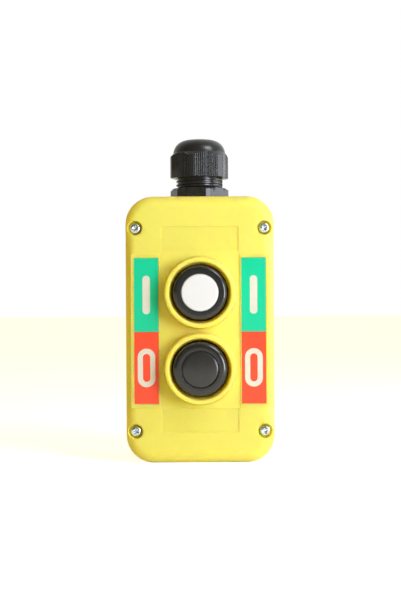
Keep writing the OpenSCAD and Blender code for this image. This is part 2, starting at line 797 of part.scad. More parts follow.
module return_spring(height) {
  color(zinc) inward(0, height) translate([0, 0, -head_under + run_gap])
    coil(return_mean_d, return_wire, pocket_depth + head_under - 2 * run_gap, return_turns);
}
module bushing(height) {
  color(grey_plastic) inward(0, height) difference() {
    union() {
      translate([0, 0, -flange_top]) cylinder(d = flange_d, h = flange_t);
      translate([0, 0, foot_depth - eps])
        cylinder(d = bushing_d, h = seat_depth - foot_depth + 2 * eps);
      translate([0, 0, seat_depth])
        grooved_rod(bushing_d / 2, bushing_end - seat_depth, bushing_pitch, bushing_groove);
    }
    translate([0, 0, -flange_top - over])
      cylinder(d = pocket_d, h = flange_top + pocket_depth + over);
    cylinder(d = stem_d + 2 * run_gap, h = bushing_end + over);
  }
}
module bushing_nut(height) {
  color(black_nylon) inward(seat_depth, height) difference() {
    cylinder(r = nut_af / 2 / cos(30), h = nut_t, $fn = 6);
    translate([0, 0, -over]) cylinder(r = bushing_d / 2 + run_gap, h = nut_t + 2 * over);
  }
}

// Contact blocks
module box(x0, x1, half_z, u0, u1) {
  translate([x0, -half_z, u0]) cube([x1 - x0, 2 * half_z, u1 - u0]);
}
module carrier(height) {
  color(white_plastic) inward(case_depth, height) difference() {
    union() {
      box(-carrier_w / 2, carrier_w / 2, carrier_h / 2, -block_gap, tail_end);
      translate([0, 0, tail_end - eps]) cylinder(d = tail_pin_d, h = tail_pin_len + eps);
    }
    box(-carrier_w, carrier_w, strip_w / 2 + slide_gap, window_start, window_end);
  }
}
module bridge(height) {
  color(brass) inward(case_depth, height) {
    box(-bridge_len / 2, bridge_len / 2, strip_w / 2, bridge_back - strip_t, bridge_back);
    for (side = [-1, 1]) translate([side * tip_x, 0, bridge_back - eps])
      cylinder(d = tip_d, h = tip_h + eps);
  }
}
module contact_spring(height) {
  len = bridge_back - strip_t - window_start - 2 * run_gap;
  color(zinc) inward(case_depth, height) translate([0, 0, window_start + run_gap])
    coil(contact_mean_d, small_wire, len, small_turns);
}
module carrier_spring(height) {
  color(zinc) inward(case_depth, height) translate([0, 0, tail_end + run_gap])
    coil(carrier_mean_d, small_wire, base_depth - tail_end - 2 * run_gap, small_turns);
}
module contact_case(height) {
  cavity_x = case_w / 2 - case_side;
  slot_x = strip_out_x - strip_t - run_gap;
  half_slot = strip_w / 2 + slide_gap;
  half_hole = carrier_h / 2 + slide_gap;
  terminal_top = shoulder_depth + strip_t;
  color(black_nylon) inward(case_depth, height) difference() {
    union() {
      box(-case_w / 2, case_w / 2, case_h / 2, 0, base_depth);
      box(-shoulder_x, shoulder_x, case_h / 2, terminal_top, terminal_top + shoulder_h);
    }
    box(-carrier_w / 2 - slide_gap, carrier_w / 2 + slide_gap, half_hole, -over, case_top + over);
    box(-cavity_x, cavity_x, half_hole, case_top, base_depth + over);
    for (side = [0, 1]) mirror([side, 0, 0]) {
      box(cavity_x - over, strip_out_x + run_gap, half_slot, fixed_strip - run_gap, base_depth + over);
      box(slot_x, strip_out_x + run_gap, half_slot, shoulder_depth, base_depth + over);
      box(slot_x, shoulder_x + over, half_slot, shoulder_depth - strip_well, terminal_top);
      translate([terminal_x, 0, shoulder_depth]) {
        cylinder(d = terminal_d + 2 * run_gap, h = terminal_len + strip_t);
        translate([0, 0, -shoulder_depth - over])
          cylinder(d = terminal_head_d + 4 * loose_gap, h = shoulder_depth + over);
      }
    }
  }
}
module contact_base(height) {
  half_base = rail_w / 2 + slide_gap + hook_w;
  hook_end = case_d + rail_t + slide_gap + hook_t;
  support_end = case_w / 2 - case_side - slide_gap;
  color(grey_plastic) inward(case_depth, height) {
    box(-half_base, half_base, case_h / 2, base_depth, case_d);
    for (side = [0, 1]) mirror([side, 0, 0]) {
      box(tip_x - tip_d / 2, support_end, strip_w / 2, fixed_strip + strip_t, base_depth + eps);
      box(half_base - hook_w, half_base, case_h / 4, case_d - eps, hook_end);
      box(half_base - hook_w - hook_reach, half_base, case_h / 4, hook_end - hook_t, hook_end);
    }
  }
}
module fixed_contacts(height) {
  strip_back = fixed_strip + strip_t;
  strip_in_x = strip_out_x - strip_t;
  color(brass) inward(case_depth, height) for (side = [0, 1]) mirror([side, 0, 0]) difference() {
    union() {
      box(tip_x - tip_d / 2, strip_out_x, strip_w / 2, fixed_strip, strip_back);
      box(strip_in_x, strip_out_x, strip_w / 2, shoulder_depth, strip_back);
      box(strip_in_x, shoulder_x, strip_w / 2, shoulder_depth, shoulder_depth + strip_t);
      translate([tip_x, 0, fixed_tip]) cylinder(d = tip_d, h = tip_h + eps);
    }
    translate([terminal_x, 0, shoulder_depth - over])
      cylinder(d = terminal_d + 2 * run_gap, h = strip_t + 2 * over);
  }
}
module terminal_screws() {
  color(zinc) for (height = [lower_z, upper_z], side = [-1, 1])
    outward(case_depth + shoulder_depth, height) translate([side * terminal_x, 0, 0])
      pan_screw(terminal_d, terminal_len, terminal_head_d, terminal_head_h);
}
module mounting_rail() {
  color(zinc) inward(rail_depth, control_z) difference() {
    linear_extrude(rail_t) rounded_rect(rail_w, rail_len, rail_corner_r);
    for (end = [-1, 1]) translate([0, end * rail_screw_dz, -over])
      cylinder(d = rail_screw_d + 2 * slide_gap, h = rail_t + 2 * over);
  }
}
module rail_screws() {
  len = body_d - rail_floor - tip_gap - rail_depth;
  color(zinc) outward(rail_depth, control_z) for (end = [-1, 1]) translate([0, end * rail_screw_dz, 0])
    pan_screw(rail_screw_d, len, rail_head_d, rail_head_h);
}

// Cable gland
module gland_body() {
  groove_r = entry_d / 2 + loose_gap;
  color(black_nylon) above_casing() difference() {
    union() {
      rotate(gland_hex_turn) gland_hexagon(gland_hex_h);
      translate([0, 0, gland_hex_h - eps])
        grooved_rod(gland_thread_d / 2, gland_thread_h + eps, gland_pitch, gland_groove);
      translate([0, 0, -entry_len])
        grooved_rod(entry_d / 2, entry_len + eps, entry_pitch, entry_groove);
    }
    translate([0, 0, -entry_len - over])
      cylinder(r = cable_r + 2 * slide_gap, h = entry_len + thread_top + 2 * over);
    translate([0, 0, socket_bottom]) cylinder(r = socket_r, h = thread_top - socket_bottom + over);
    translate([0, 0, -over]) ring(groove_r + oring_t, groove_r, over + oring_t);
  }
}
module gland_o_ring() {
  groove_r = entry_d / 2 + loose_gap;
  color(black_rubber) above_casing()
    ring(groove_r + oring_t - run_gap, groove_r + run_gap, oring_t);
}
module gland_locknut() {
  color(black_nylon) above_casing() translate([0, 0, -wall - locknut_t]) difference() {
    cylinder(r = (entry_d / 2 + locknut_wall) / cos(30), h = locknut_t, $fn = 6);
    translate([0, 0, -over]) cylinder(r = entry_d / 2 + run_gap, h = locknut_t + 2 * over);
  }
}
module gland_claw() {
  shell_r = socket_r - loose_gap;
  finger_r = cone_r - loose_gap - slide_gap;
  finger_tip_r = finger_r - cone_slope * (claw_top - cone_start);
  color(black_nylon) above_casing() difference() {
    rotate_extrude() difference() {
      polygon([
        [cable_r, claw_bottom], [shell_r, claw_bottom], [shell_r, claw_flange],
        [claw_flange_r, claw_flange], [claw_flange_r, claw_flange + claw_flange_t],
        [finger_r, cone_start], [finger_tip_r, claw_top], [cable_r, claw_top]
      ]);
      polygon([
        [0, seal_start], [claw_in_r, seal_start], [claw_in_r, seal_top + slide_gap],
        [cable_r, claw_top], [0, claw_top]
      ]);
    }
    for (i = [0 : claw_fingers - 1]) rotate(360 * i / claw_fingers)
      translate([0, -claw_slot / 2, cone_start]) cube([gland_r, claw_slot, dome_nut_h]);
  }
}
module gland_seal() {
  color(black_rubber) above_casing() translate([0, 0, seal_start])
    ring(claw_in_r - run_gap, seal_r, seal_top - seal_start);
}
module grip_outline() {
  pitch = gland_flat / (grip_count + 1);
  rib_root = 0.3 * pitch;
  rib_top = 0.18 * pitch;
  flat_y = gland_af / 2;
  polygon([for (face = [0 : 5], i = [0 : grip_count - 1], k = [0 : 3])
    let (
      along = (i - (grip_count - 1) / 2) * pitch + [-rib_root, -rib_top, rib_top, rib_root][k],
      out = flat_y + [0, grip_depth, grip_depth, 0][k],
      turn = 60 * face + 90
    )
    [out * cos(turn) - along * sin(turn), out * sin(turn) + along * cos(turn)]]);
}
module gland_dome_nut() {
  chamfer_r = gland_af / 2 - dome_cone_reach;
  chamfer_h = (gland_r - chamfer_r) * dome_cone_slope;
  color(black_nylon) above_casing() translate([0, 0, dome_start]) rotate(dome_turn) difference() {
    union() {
      intersection() {
        gland_hexagon(dome_hex_h + chamfer_h);
        union() {
          cylinder(r = gland_r, h = dome_hex_h);
          translate([0, 0, dome_hex_h]) cylinder(r1 = gland_r, r2 = chamfer_r, h = chamfer_h);
        }
      }
      translate([0, 0, grip_margin])
        linear_extrude(dome_hex_h - 2 * grip_margin) grip_outline();
      rotate_extrude() rim_profile(gland_af / 2 - dome_step, dome_nut_h, dome_r, 0);
    }
    translate([0, 0, -dome_start]) rotate_extrude() polygon([
      [0, dome_start - over], [nut_bore_r, dome_start - over],
      [nut_bore_r, ridge_start], [socket_r + ridge_in, ridge_start],
      [socket_r + ridge_in, ridge_start + ridge_h], [flange_bore_r, ridge_start + ridge_h],
      [flange_bore_r, cone_start], [cone_r, cone_start], [cone_end_r, cone_end],
      [cable_r, cone_end], [cable_r, dome_top + over], [0, dome_top + over]
    ]);
  }
}

front_cover();
rear_housing();
cover_gasket();
cover_screws();
screw_inserts();
label(-1, "bar");  // left_green_label
label(1, "bar");  // right_green_label
label(-1, "ring");  // left_red_label
label(1, "ring");  // right_red_label
symbol(-1, "bar");  // left_on_bar
symbol(1, "bar");  // right_on_bar
symbol(-1, "ring");  // left_off_ring
symbol(1, "ring");  // right_off_ring
gland_body();
gland_o_ring();
gland_locknut();
gland_claw();
gland_seal();
gland_dome_nut();
boot(upper_z);  // upper_boot
boot(lower_z);  // lower_boot
disc(upper_z, upper_groove, white_plastic);  // upper_disc
disc(lower_z, lower_groove, black_nylon);  // lower_disc
plunger(upper_z);  // upper_plunger
plunger(lower_z);  // lower_plunger
clip(upper_z);  // upper_clip
clip(lower_z);  // lower_clip
return_spring(upper_z);  // upper_return_spring
return_spring(lower_z);  // lower_return_spring
bushing(upper_z);  // upper_bushing
bushing(lower_z);  // lower_bushing
bushing_nut(upper_z);  // upper_bushing_nut
bushing_nut(lower_z);  // lower_bushing_nut
carrier(upper_z);  // upper_carrier
carrier(lower_z);  // lower_carrier
bridge(upper_z);  // upper_bridge
bridge(lower_z);  // lower_bridge
contact_spring(upper_z);  // upper_contact_spring
contact_spring(lower_z);  // lower_contact_spring
carrier_spring(upper_z);  // upper_carrier_spring
carrier_spring(lower_z);  // lower_carrier_spring
contact_case(upper_z);  // upper_contact_case
contact_case(lower_z);  // lower_contact_case
contact_base(upper_z);  // upper_contact_base
contact_base(lower_z);  // lower_contact_base
fixed_contacts(upper_z);  // upper_fixed_contacts
fixed_contacts(lower_z);  // lower_fixed_contacts
terminal_screws();
mounting_rail();
rail_screws();
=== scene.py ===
# %% [markdown]
# # A pendant push-button station
#
# The object is a yellow plastic casing that is made to hang from a cable. Two buttons
# under rubber boots sit in guard collars on its front, coloured label strips lie on both
# sides, and a black cable gland closes its top. The engineering model already holds
# every piece at its real size. This lesson gives the pieces the surfaces and the fine
# shapes that the eye expects, and sets up the camera and lamps to photograph the result.
#
# Everything is in metres. The station stands on z = 0 with its buttons towards -y.

# %% Load the engineering model
import json
import math

import bmesh
import bpy
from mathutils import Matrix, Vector


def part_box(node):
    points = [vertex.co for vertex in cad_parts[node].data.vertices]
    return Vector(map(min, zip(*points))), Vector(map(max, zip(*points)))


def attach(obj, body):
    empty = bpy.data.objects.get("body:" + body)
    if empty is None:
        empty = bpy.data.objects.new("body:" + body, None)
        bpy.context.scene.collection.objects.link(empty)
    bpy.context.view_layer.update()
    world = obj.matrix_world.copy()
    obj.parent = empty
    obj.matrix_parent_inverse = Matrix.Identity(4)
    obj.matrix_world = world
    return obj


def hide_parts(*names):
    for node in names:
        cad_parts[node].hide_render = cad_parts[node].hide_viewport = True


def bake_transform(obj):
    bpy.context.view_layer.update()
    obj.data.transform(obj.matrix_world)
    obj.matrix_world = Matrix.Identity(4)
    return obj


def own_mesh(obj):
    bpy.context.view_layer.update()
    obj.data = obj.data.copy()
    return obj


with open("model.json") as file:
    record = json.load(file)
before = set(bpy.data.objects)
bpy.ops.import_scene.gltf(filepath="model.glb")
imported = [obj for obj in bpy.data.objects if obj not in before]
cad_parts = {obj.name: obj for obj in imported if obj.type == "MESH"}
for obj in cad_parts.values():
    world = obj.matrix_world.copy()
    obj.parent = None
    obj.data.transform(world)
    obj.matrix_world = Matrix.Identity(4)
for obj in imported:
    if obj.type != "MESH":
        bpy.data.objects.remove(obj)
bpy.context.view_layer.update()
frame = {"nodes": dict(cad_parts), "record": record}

MM = 0.001
nodes = frame["nodes"]
scene = bpy.context.scene

# %% [markdown]
# ## The camera
#
# The picture was taken square on to the cover from about arm's length, a little below
# the middle of the station's height. A camera at the same distance gives the same
# perspective: the gland lies 33 mm behind the face, so it looks slightly smaller than
# its size, and the top of the casing hides the foot of its hexagon. The camera could
# be aimed with a constraint, but a plain position and rotation is easier to check
# against measured sizes.

# %% Camera
COLLAR_H = 8.5 * MM
FACE_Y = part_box("front_cover")[0].y + COLLAR_H
VIEW_DISTANCE = 650 * MM
PICTURE_HEIGHT = 321.5 * MM
CAMERA_X = 0.3 * MM
CAMERA_Z = 87.3 * MM
CAMERA_ROLL = 0.3
SENSOR = 36

camera = bpy.data.objects.new("camera", bpy.data.cameras.new("camera"))
scene.collection.objects.link(camera)
scene.camera = camera
camera.location = (CAMERA_X, FACE_Y - VIEW_DISTANCE, CAMERA_Z)
camera.rotation_euler = (math.radians(90), math.radians(CAMERA_ROLL), 0)
camera.data.sensor_width = SENSOR
camera.data.lens = SENSOR * VIEW_DISTANCE / PICTURE_HEIGHT
camera.data.clip_start = 10 * MM
print(f"the cover's face lies at y = {FACE_Y / MM:.1f} mm, the lens is {camera.data.lens:.1f} mm")

# %% [markdown]
# ## Helpers for node materials
#
# Every finish here is a small network of shader nodes. Building networks by hand is
# wordy, so one helper empties a new material and another adds a node with its values,
# whether a value belongs to a socket or to the node itself. A third makes the soft step
# between two limits that many effects start from, and the last gives a colour its alpha.

# %% Node helpers
def new_material(name):
    material = bpy.data.materials.new(name)
    material.use_nodes = True
    material.node_tree.nodes.clear()
    return material, material.node_tree


def add_node(tree, kind, **values):
    node = tree.nodes.new(kind)
    for key, value in values.items():
        if key in node.inputs:
            node.inputs[key].default_value = value
        else:
            setattr(node, key, value)
    return node


def soft_step(tree, low, high, to_low=0.0, to_high=1.0):
    """A node that eases from to_low to to_high while its value goes from low to high."""
    node = add_node(tree, "ShaderNodeMapRange", interpolation_type="SMOOTHSTEP")
    limits = {"From Min": low, "From Max": high, "To Min": to_low, "To Max": to_high}
    for key, value in limits.items():
        node.inputs[key].default_value = value
    return node


def rgba(colour):
    return (*colour, 1)


# %% [markdown]
# ## Floor and backdrop
#
# A product picture stands on white. One large flat sheet does that, under the station
# and far behind it. Its own colour is pale grey. A ray that comes from the camera or
# from a shiny surface also meets a little glow in it, which lifts it to white without
# any more light on the station, and the sheet still keeps the station's shadow. Far
# behind, where only the warm light from the walls reaches it, it stays a faint cream.

# %% Floor
FLOOR_HALF = 6.0
FLOOR_PAINT = (0.8, 0.8, 0.8)
FLOOR_GLOW = 0.78
corners = [(x * FLOOR_HALF, y * FLOOR_HALF, 0) for x, y in ((-1, -1), (1, -1), (1, 1), (-1, 1))]
floor_mesh = bpy.data.meshes.new("studio_floor")
floor_mesh.from_pydata(corners, [], [(0, 1, 2, 3)])
floor = bpy.data.objects.new("studio_floor", floor_mesh)
scene.collection.objects.link(floor)


def seen_directly(tree):
    """1 for rays from the camera, from shiny surfaces and through clear ones."""
    path = add_node(tree, "ShaderNodeLightPath")
    either = add_node(tree, "ShaderNodeMath", operation="MAXIMUM")
    any_of = add_node(tree, "ShaderNodeMath", operation="MAXIMUM")
    tree.links.new(path.outputs["Is Camera Ray"], either.inputs[0])
    tree.links.new(path.outputs["Is Glossy Ray"], either.inputs[1])
    tree.links.new(either.outputs[0], any_of.inputs[0])
    tree.links.new(path.outputs["Is Transmission Ray"], any_of.inputs[1])
    return any_of.outputs[0]


floor_paint, tree = new_material("studio_floor")
output = add_node(tree, "ShaderNodeOutputMaterial")
paint = add_node(tree, "ShaderNodeBsdfDiffuse", Color=rgba(FLOOR_PAINT))
glow = add_node(tree, "ShaderNodeEmission", Color=(1, 1, 1, 1))
amount = add_node(tree, "ShaderNodeMath", operation="MULTIPLY")
amount.inputs[1].default_value = FLOOR_GLOW
both = add_node(tree, "ShaderNodeAddShader")
tree.links.new(seen_directly(tree), amount.inputs[0])
tree.links.new(amount.outputs[0], glow.inputs["Strength"])
tree.links.new(paint.outputs[0], both.inputs[0])
tree.links.new(glow.outputs[0], both.inputs[1])
tree.links.new(both.outputs[0], output.inputs["Surface"])
floor_mesh.materials.append(floor_paint)
print("floor: a sheet of", 2 * FLOOR_HALF, "m")

# %% [markdown]
# ## Light
#
# The station was lit by a tall soft lamp on the right, level with the camera. The
# collars throw a soft shadow to the left, and the right edge of the casing is nearly
# white. A second lamp higher up puts the bright spot on the gland's dome, and a third at
# the side lights the facets that turn away. Area lamps are used and not points of light,
# because only a lamp with a size gives shadows a soft edge.

# %% Lamps
AIM = Vector((0, 0, 85 * MM))
COOL = (0.96, 1.02, 1.13)


def soft_lamp(name, right, up, distance, size, watts, tall=1.0):
    """A soft lamp, placed by its angles from the camera's axis in degrees."""
    data = bpy.data.lights.new(name, "AREA")
    data.shape = "RECTANGLE"
    data.size = size
    data.size_y = size * tall
    data.energy = watts
    data.color = COOL
    lamp = bpy.data.objects.new(name, data)
    scene.collection.objects.link(lamp)
    side, rise = math.radians(right), math.radians(up)
    level = math.cos(rise)
    towards = Vector((math.sin(side) * level, -math.cos(side) * level, math.sin(rise)))
    lamp.location = AIM + towards * distance
    lamp.rotation_euler = (-towards).to_track_quat("-Z", "Y").to_euler()


soft_lamp("key_lamp", right=43, up=1, distance=0.70, size=0.25, watts=4.5, tall=1.6)
soft_lamp("high_lamp", right=46, up=42, distance=0.80, size=0.30, watts=2.25)
soft_lamp("side_strip", right=98, up=4, distance=0.60, size=0.36, watts=1.6)
print("lit by", [lamp.name for lamp in bpy.data.lights])

# %% [markdown]
# The world's light has two faces. Most rays meet a warm grey, which fills the shadows
# from all sides, most from the left, where a pale card stands across from the lamp. The
# card could be a real plane, but then it would also show in shiny surfaces.

# %% Walls that fill the shadows
WARM = (1.0, 0.69, 0.13)
WALL_LIGHT = 0.40
CARD_SHARE = 3.2
CARD_X = (-1.0, -0.6)
world = bpy.data.worlds.new("studio")
scene.world = world
world.use_nodes = True
tree = world.node_tree
tree.nodes.clear()
direction = add_node(tree, "ShaderNodeTexCoord")
axes = add_node(tree, "ShaderNodeSeparateXYZ")
walls = add_node(tree, "ShaderNodeBackground", Color=rgba(WARM))
card = soft_step(tree, *CARD_X, WALL_LIGHT * CARD_SHARE, WALL_LIGHT)
tree.links.new(direction.outputs["Generated"], axes.inputs[0])
tree.links.new(axes.outputs["X"], card.inputs["Value"])
tree.links.new(card.outputs[0], walls.inputs["Strength"])
print(f"walls at {WALL_LIGHT}, the card at {WALL_LIGHT * CARD_SHARE:.2f}")

# %% [markdown]
# Shiny surfaces mirror another room: white behind the station, less of it on the left,
# and dim round the camera, so that the flat front keeps its full colour and only the
# edges catch the white. Round the high lamp they meet the pale sheet of fabric that the
# lamp shines through, which spreads the bright spot on the dome.

# %% What shiny surfaces mirror
ROOM_GLOW = 0.22
BEHIND_Y = (-0.35, 0.75)
LEFT_SHARE = 0.65
LEFT_TO_RIGHT_X = (-0.7, 0.5)
SHEET_GLOW = 1.0
SHEET_TOWARDS = (0.53, -0.52, 0.67)
SHEET_REACH = (27, 10)
behind = soft_step(tree, *BEHIND_Y, ROOM_GLOW)
right_share = soft_step(tree, *LEFT_TO_RIGHT_X, LEFT_SHARE)
mirrored_wall = add_node(tree, "ShaderNodeMath", operation="MULTIPLY")
towards_sheet = add_node(tree, "ShaderNodeVectorMath", operation="DOT_PRODUCT")
towards_sheet.inputs[1].default_value = SHEET_TOWARDS
sheet = soft_step(tree, *(math.cos(math.radians(angle)) for angle in SHEET_REACH), 0.0, SHEET_GLOW)
mirrored = add_node(tree, "ShaderNodeMath", operation="ADD")
tree.links.new(axes.outputs["Y"], behind.inputs["Value"])
tree.links.new(axes.outputs["X"], right_share.inputs["Value"])
tree.links.new(behind.outputs[0], mirrored_wall.inputs[0])
tree.links.new(right_share.outputs[0], mirrored_wall.inputs[1])
tree.links.new(direction.outputs["Generated"], towards_sheet.inputs[0])
tree.links.new(towards_sheet.outputs["Value"], sheet.inputs["Value"])
tree.links.new(mirrored_wall.outputs[0], mirrored.inputs[0])
tree.links.new(sheet.outputs[0], mirrored.inputs[1])
print(f"the sheet reaches {SHEET_REACH[0]} degrees round the high lamp")

# %% [markdown]
# A Light Path node tells the rays apart. A camera ray meets plain white everywhere,
# whatever a shiny surface would mirror there.

# %% World
path = add_node(tree, "ShaderNodeLightPath")
bright = add_node(tree, "ShaderNodeMath", operation="MAXIMUM")
white = add_node(tree, "ShaderNodeBackground", Color=(1, 1, 1, 1))
choose = add_node(tree, "ShaderNodeMixShader")
output = add_node(tree, "ShaderNodeOutputWorld")
tree.links.new(mirrored.outputs[0], bright.inputs[0])
tree.links.new(path.outputs["Is Camera Ray"], bright.inputs[1])
tree.links.new(bright.outputs[0], white.inputs["Strength"])
tree.links.new(seen_directly(tree), choose.inputs[0])
tree.links.new(walls.outputs[0], choose.inputs[1])
tree.links.new(white.outputs[0], choose.inputs[2])
tree.links.new(choose.outputs[0], output.inputs["Surface"])
scene.view_settings.view_transform = "Standard"
print("world:", len(tree.nodes), "nodes")

# %% [markdown]
# ## Effects that several finishes share
#
# A moulding has a fine spark-eroded grain and drifts a little in colour. Handled
# plastic has hair-fine scuffs that show in its gloss. Dust settles on what faces up.
# Each of these is a node group with named inputs and outputs, built once, and each
# finish places it with its own values. A group gives only numbers that change over the
# surface. The shader itself stays in the material.

# %% Group helper
def new_group(name, inputs, outputs):
    """A shader node group. inputs holds name: default, outputs holds names."""
    group = bpy.data.node_groups.new(name, "ShaderNodeTree")
    for label, value in inputs.items():
        socket = group.interface.new_socket(label, in_out="INPUT", socket_type="NodeSocketFloat")
        socket.default_value = value
    for label in outputs:
        group.interface.new_socket(label, in_out="OUTPUT", socket_type="NodeSocketFloat")
    return group, group.nodes.new("NodeGroupInput"), group.nodes.new("NodeGroupOutput")


def place_group(tree, group, **values):
    node = add_node(tree, "ShaderNodeGroup")
    node.node_tree = group
    for key, value in values.items():
        node.inputs[key].default_value = value
    return node


# %% Grain of a moulding
grain_group, given, gives = new_group(
    "moulding_grain", {"Grain size": 0.0004, "Drift size": 0.02}, ["Grain", "Drift"])
where = add_node(grain_group, "ShaderNodeTexCoord")
for size, result, detail in (("Grain size", "Grain", 2.0), ("Drift size", "Drift", 3.0)):
    per_metre = add_node(grain_group, "ShaderNodeMath", operation="DIVIDE")
    per_metre.inputs[0].default_value = 1.0
    noise = add_node(grain_group, "ShaderNodeTexNoise", Detail=detail, Roughness=0.55)
    grain_group.links.new(given.outputs[size], per_metre.inputs[1])
    grain_group.links.new(per_metre.outputs[0], noise.inputs["Scale"])
    grain_group.links.new(where.outputs["Object"], noise.inputs["Vector"])
    grain_group.links.new(noise.outputs[0], gives.inputs[result])
print("group:", grain_group.name)

# %% Scuffs of handled plastic
SCUFF_TURN = (0.4, 0.7, 0.9)
SCUFF_STRETCH = (1, 1, 14)
STREAK_LEVELS = (0.55, 0.75)
PATCH_LEVELS = (0.8, 1.0)
scuff_group, given, gives = new_group(
    "handling_scuffs", {"Length": 0.004, "Cover": 0.35}, ["Scuffs"])
where = add_node(scuff_group, "ShaderNodeTexCoord")
turn = add_node(scuff_group, "ShaderNodeMapping")
turn.inputs["Rotation"].default_value = SCUFF_TURN
turn.inputs["Scale"].default_value = SCUFF_STRETCH
per_metre = add_node(scuff_group, "ShaderNodeMath", operation="DIVIDE")
per_metre.inputs[0].default_value = 1.0
streaks = add_node(scuff_group, "ShaderNodeTexNoise", Detail=4.0, Roughness=0.6, Distortion=0.4)
patches = add_node(scuff_group, "ShaderNodeTexNoise", Scale=60.0, Detail=2.0)
limit = soft_step(scuff_group, *STREAK_LEVELS)
add_cover = add_node(scuff_group, "ShaderNodeMath", operation="ADD")
soft_patch = soft_step(scuff_group, *PATCH_LEVELS)
scuffs = add_node(scuff_group, "ShaderNodeMath", operation="MULTIPLY")
scuff_group.links.new(where.outputs["Object"], turn.inputs["Vector"])
scuff_group.links.new(given.outputs["Length"], per_metre.inputs[1])
scuff_group.links.new(per_metre.outputs[0], streaks.inputs["Scale"])
scuff_group.links.new(turn.outputs[0], streaks.inputs["Vector"])
scuff_group.links.new(where.outputs["Object"], patches.inputs["Vector"])
scuff_group.links.new(streaks.outputs[0], limit.inputs["Value"])
scuff_group.links.new(patches.outputs[0], add_cover.inputs[0])
scuff_group.links.new(given.outputs["Cover"], add_cover.inputs[1])
scuff_group.links.new(add_cover.outputs[0], soft_patch.inputs["Value"])
scuff_group.links.new(limit.outputs[0], scuffs.inputs[0])
scuff_group.links.new(soft_patch.outputs[0], scuffs.inputs[1])
scuff_group.links.new(scuffs.outputs[0], gives.inputs["Scuffs"])
print("group:", scuff_group.name)

# %% Dust on what faces up
FACING_UP = (0.3, 1.0)
SPECK_LEVELS = (0.35, 0.75)
dust_group, given, gives = new_group("settled_dust", {"Amount": 0.3}, ["Dust"])
faces = add_node(dust_group, "ShaderNodeNewGeometry")
split = add_node(dust_group, "ShaderNodeSeparateXYZ")
upward = soft_step(dust_group, *FACING_UP)
where = add_node(dust_group, "ShaderNodeTexCoord")
specks = add_node(dust_group, "ShaderNodeTexNoise", Scale=900.0, Detail=4.0, Roughness=0.7)
speck_range = add_node(dust_group, "ShaderNodeMapRange")
speck_range.inputs["From Min"].default_value = SPECK_LEVELS[0]
speck_range.inputs["From Max"].default_value = SPECK_LEVELS[1]
film = add_node(dust_group, "ShaderNodeMath", operation="MULTIPLY")
dust = add_node(dust_group, "ShaderNodeMath", operation="MULTIPLY")
dust_group.links.new(faces.outputs["Normal"], split.inputs[0])
dust_group.links.new(split.outputs["Z"], upward.inputs["Value"])
dust_group.links.new(where.outputs["Object"], specks.inputs["Vector"])
dust_group.links.new(specks.outputs[0], speck_range.inputs["Value"])
dust_group.links.new(upward.outputs[0], film.inputs[0])
dust_group.links.new(speck_range.outputs[0], film.inputs[1])
dust_group.links.new(film.outputs[0], dust.inputs[0])
dust_group.links.new(given.outputs["Amount"], dust.inputs[1])
dust_group.links.new(dust.outputs[0], gives.inputs["Dust"])
print("group:", dust_group.name)

# %% [markdown]
# ## Plastics, rubber and print
#
# One recipe serves all the mouldings, because they differ only in their numbers: the
# colour drifts between two near tones, dust pales it where it lies, the gloss drifts
# with it and dulls under scuffs, and the grain goes into a bump. The casing's edges are
# rounded by a hair in the shader, since no mould leaves a sharp one. A picture texture
# could hold all that, but it would have a fixed size, and these nodes stay sharp.

# %% Mouldings
DUST_COLOUR = (0.62, 0.60, 0.56)
GRAIN_HEIGHT = 0.00008
GLOW_SHARE = 0.9


def moulded(name, colour, second, roughness, gloss_drift=0.08, grain=0.12, grain_size=0.0004,
            drift_size=0.02, scuffs=0.12, dust=0.15, soft_edge=0.0, ior=1.5, glow_depth=None):
    material, tree = new_material(name)
    output = add_node(tree, "ShaderNodeOutputMaterial")
    skin = add_node(tree, "ShaderNodeBsdfPrincipled", IOR=ior)
    if glow_depth:
        skin.inputs["Subsurface Weight"].default_value = GLOW_SHARE
        skin.inputs["Subsurface Scale"].default_value = MM
        skin.inputs["Subsurface Radius"].default_value = glow_depth
    texture = place_group(tree, grain_group, **{"Grain size": grain_size, "Drift size": drift_size})
    marks = place_group(tree, scuff_group)
    lying = place_group(tree, dust_group, Amount=dust)
    tones = add_node(tree, "ShaderNodeMix", data_type="RGBA")
    tones.inputs[6].default_value = rgba(colour)
    tones.inputs[7].default_value = rgba(second)
    dusty = add_node(tree, "ShaderNodeMix", data_type="RGBA")
    dusty.inputs[7].default_value = rgba(DUST_COLOUR)
    gloss = add_node(tree, "ShaderNodeMapRange")
    gloss.inputs["To Min"].default_value = roughness - gloss_drift
    gloss.inputs["To Max"].default_value = roughness + gloss_drift
    dulled = add_node(tree, "ShaderNodeMath", operation="MULTIPLY_ADD")
    dulled.inputs[1].default_value = scuffs
    bump = add_node(tree, "ShaderNodeBump", Strength=grain, Distance=GRAIN_HEIGHT)
    tree.links.new(texture.outputs["Drift"], tones.inputs[0])
    tree.links.new(tones.outputs[2], dusty.inputs[6])
    tree.links.new(lying.outputs["Dust"], dusty.inputs[0])
    tree.links.new(dusty.outputs[2], skin.inputs["Base Color"])
    tree.links.new(texture.outputs["Drift"], gloss.inputs["Value"])
    tree.links.new(marks.outputs["Scuffs"], dulled.inputs[0])
    tree.links.new(gloss.outputs[0], dulled.inputs[2])
    tree.links.new(dulled.outputs[0], skin.inputs["Roughness"])
    tree.links.new(texture.outputs["Grain"], bump.inputs["Height"])
    if soft_edge:
        rounded = add_node(tree, "ShaderNodeBevel", samples=6, Radius=soft_edge)
        tree.links.new(rounded.outputs[0], bump.inputs["Normal"])
    tree.links.new(bump.outputs[0], skin.inputs["Normal"])
    tree.links.new(skin.outputs[0], output.inputs["Surface"])
    return material


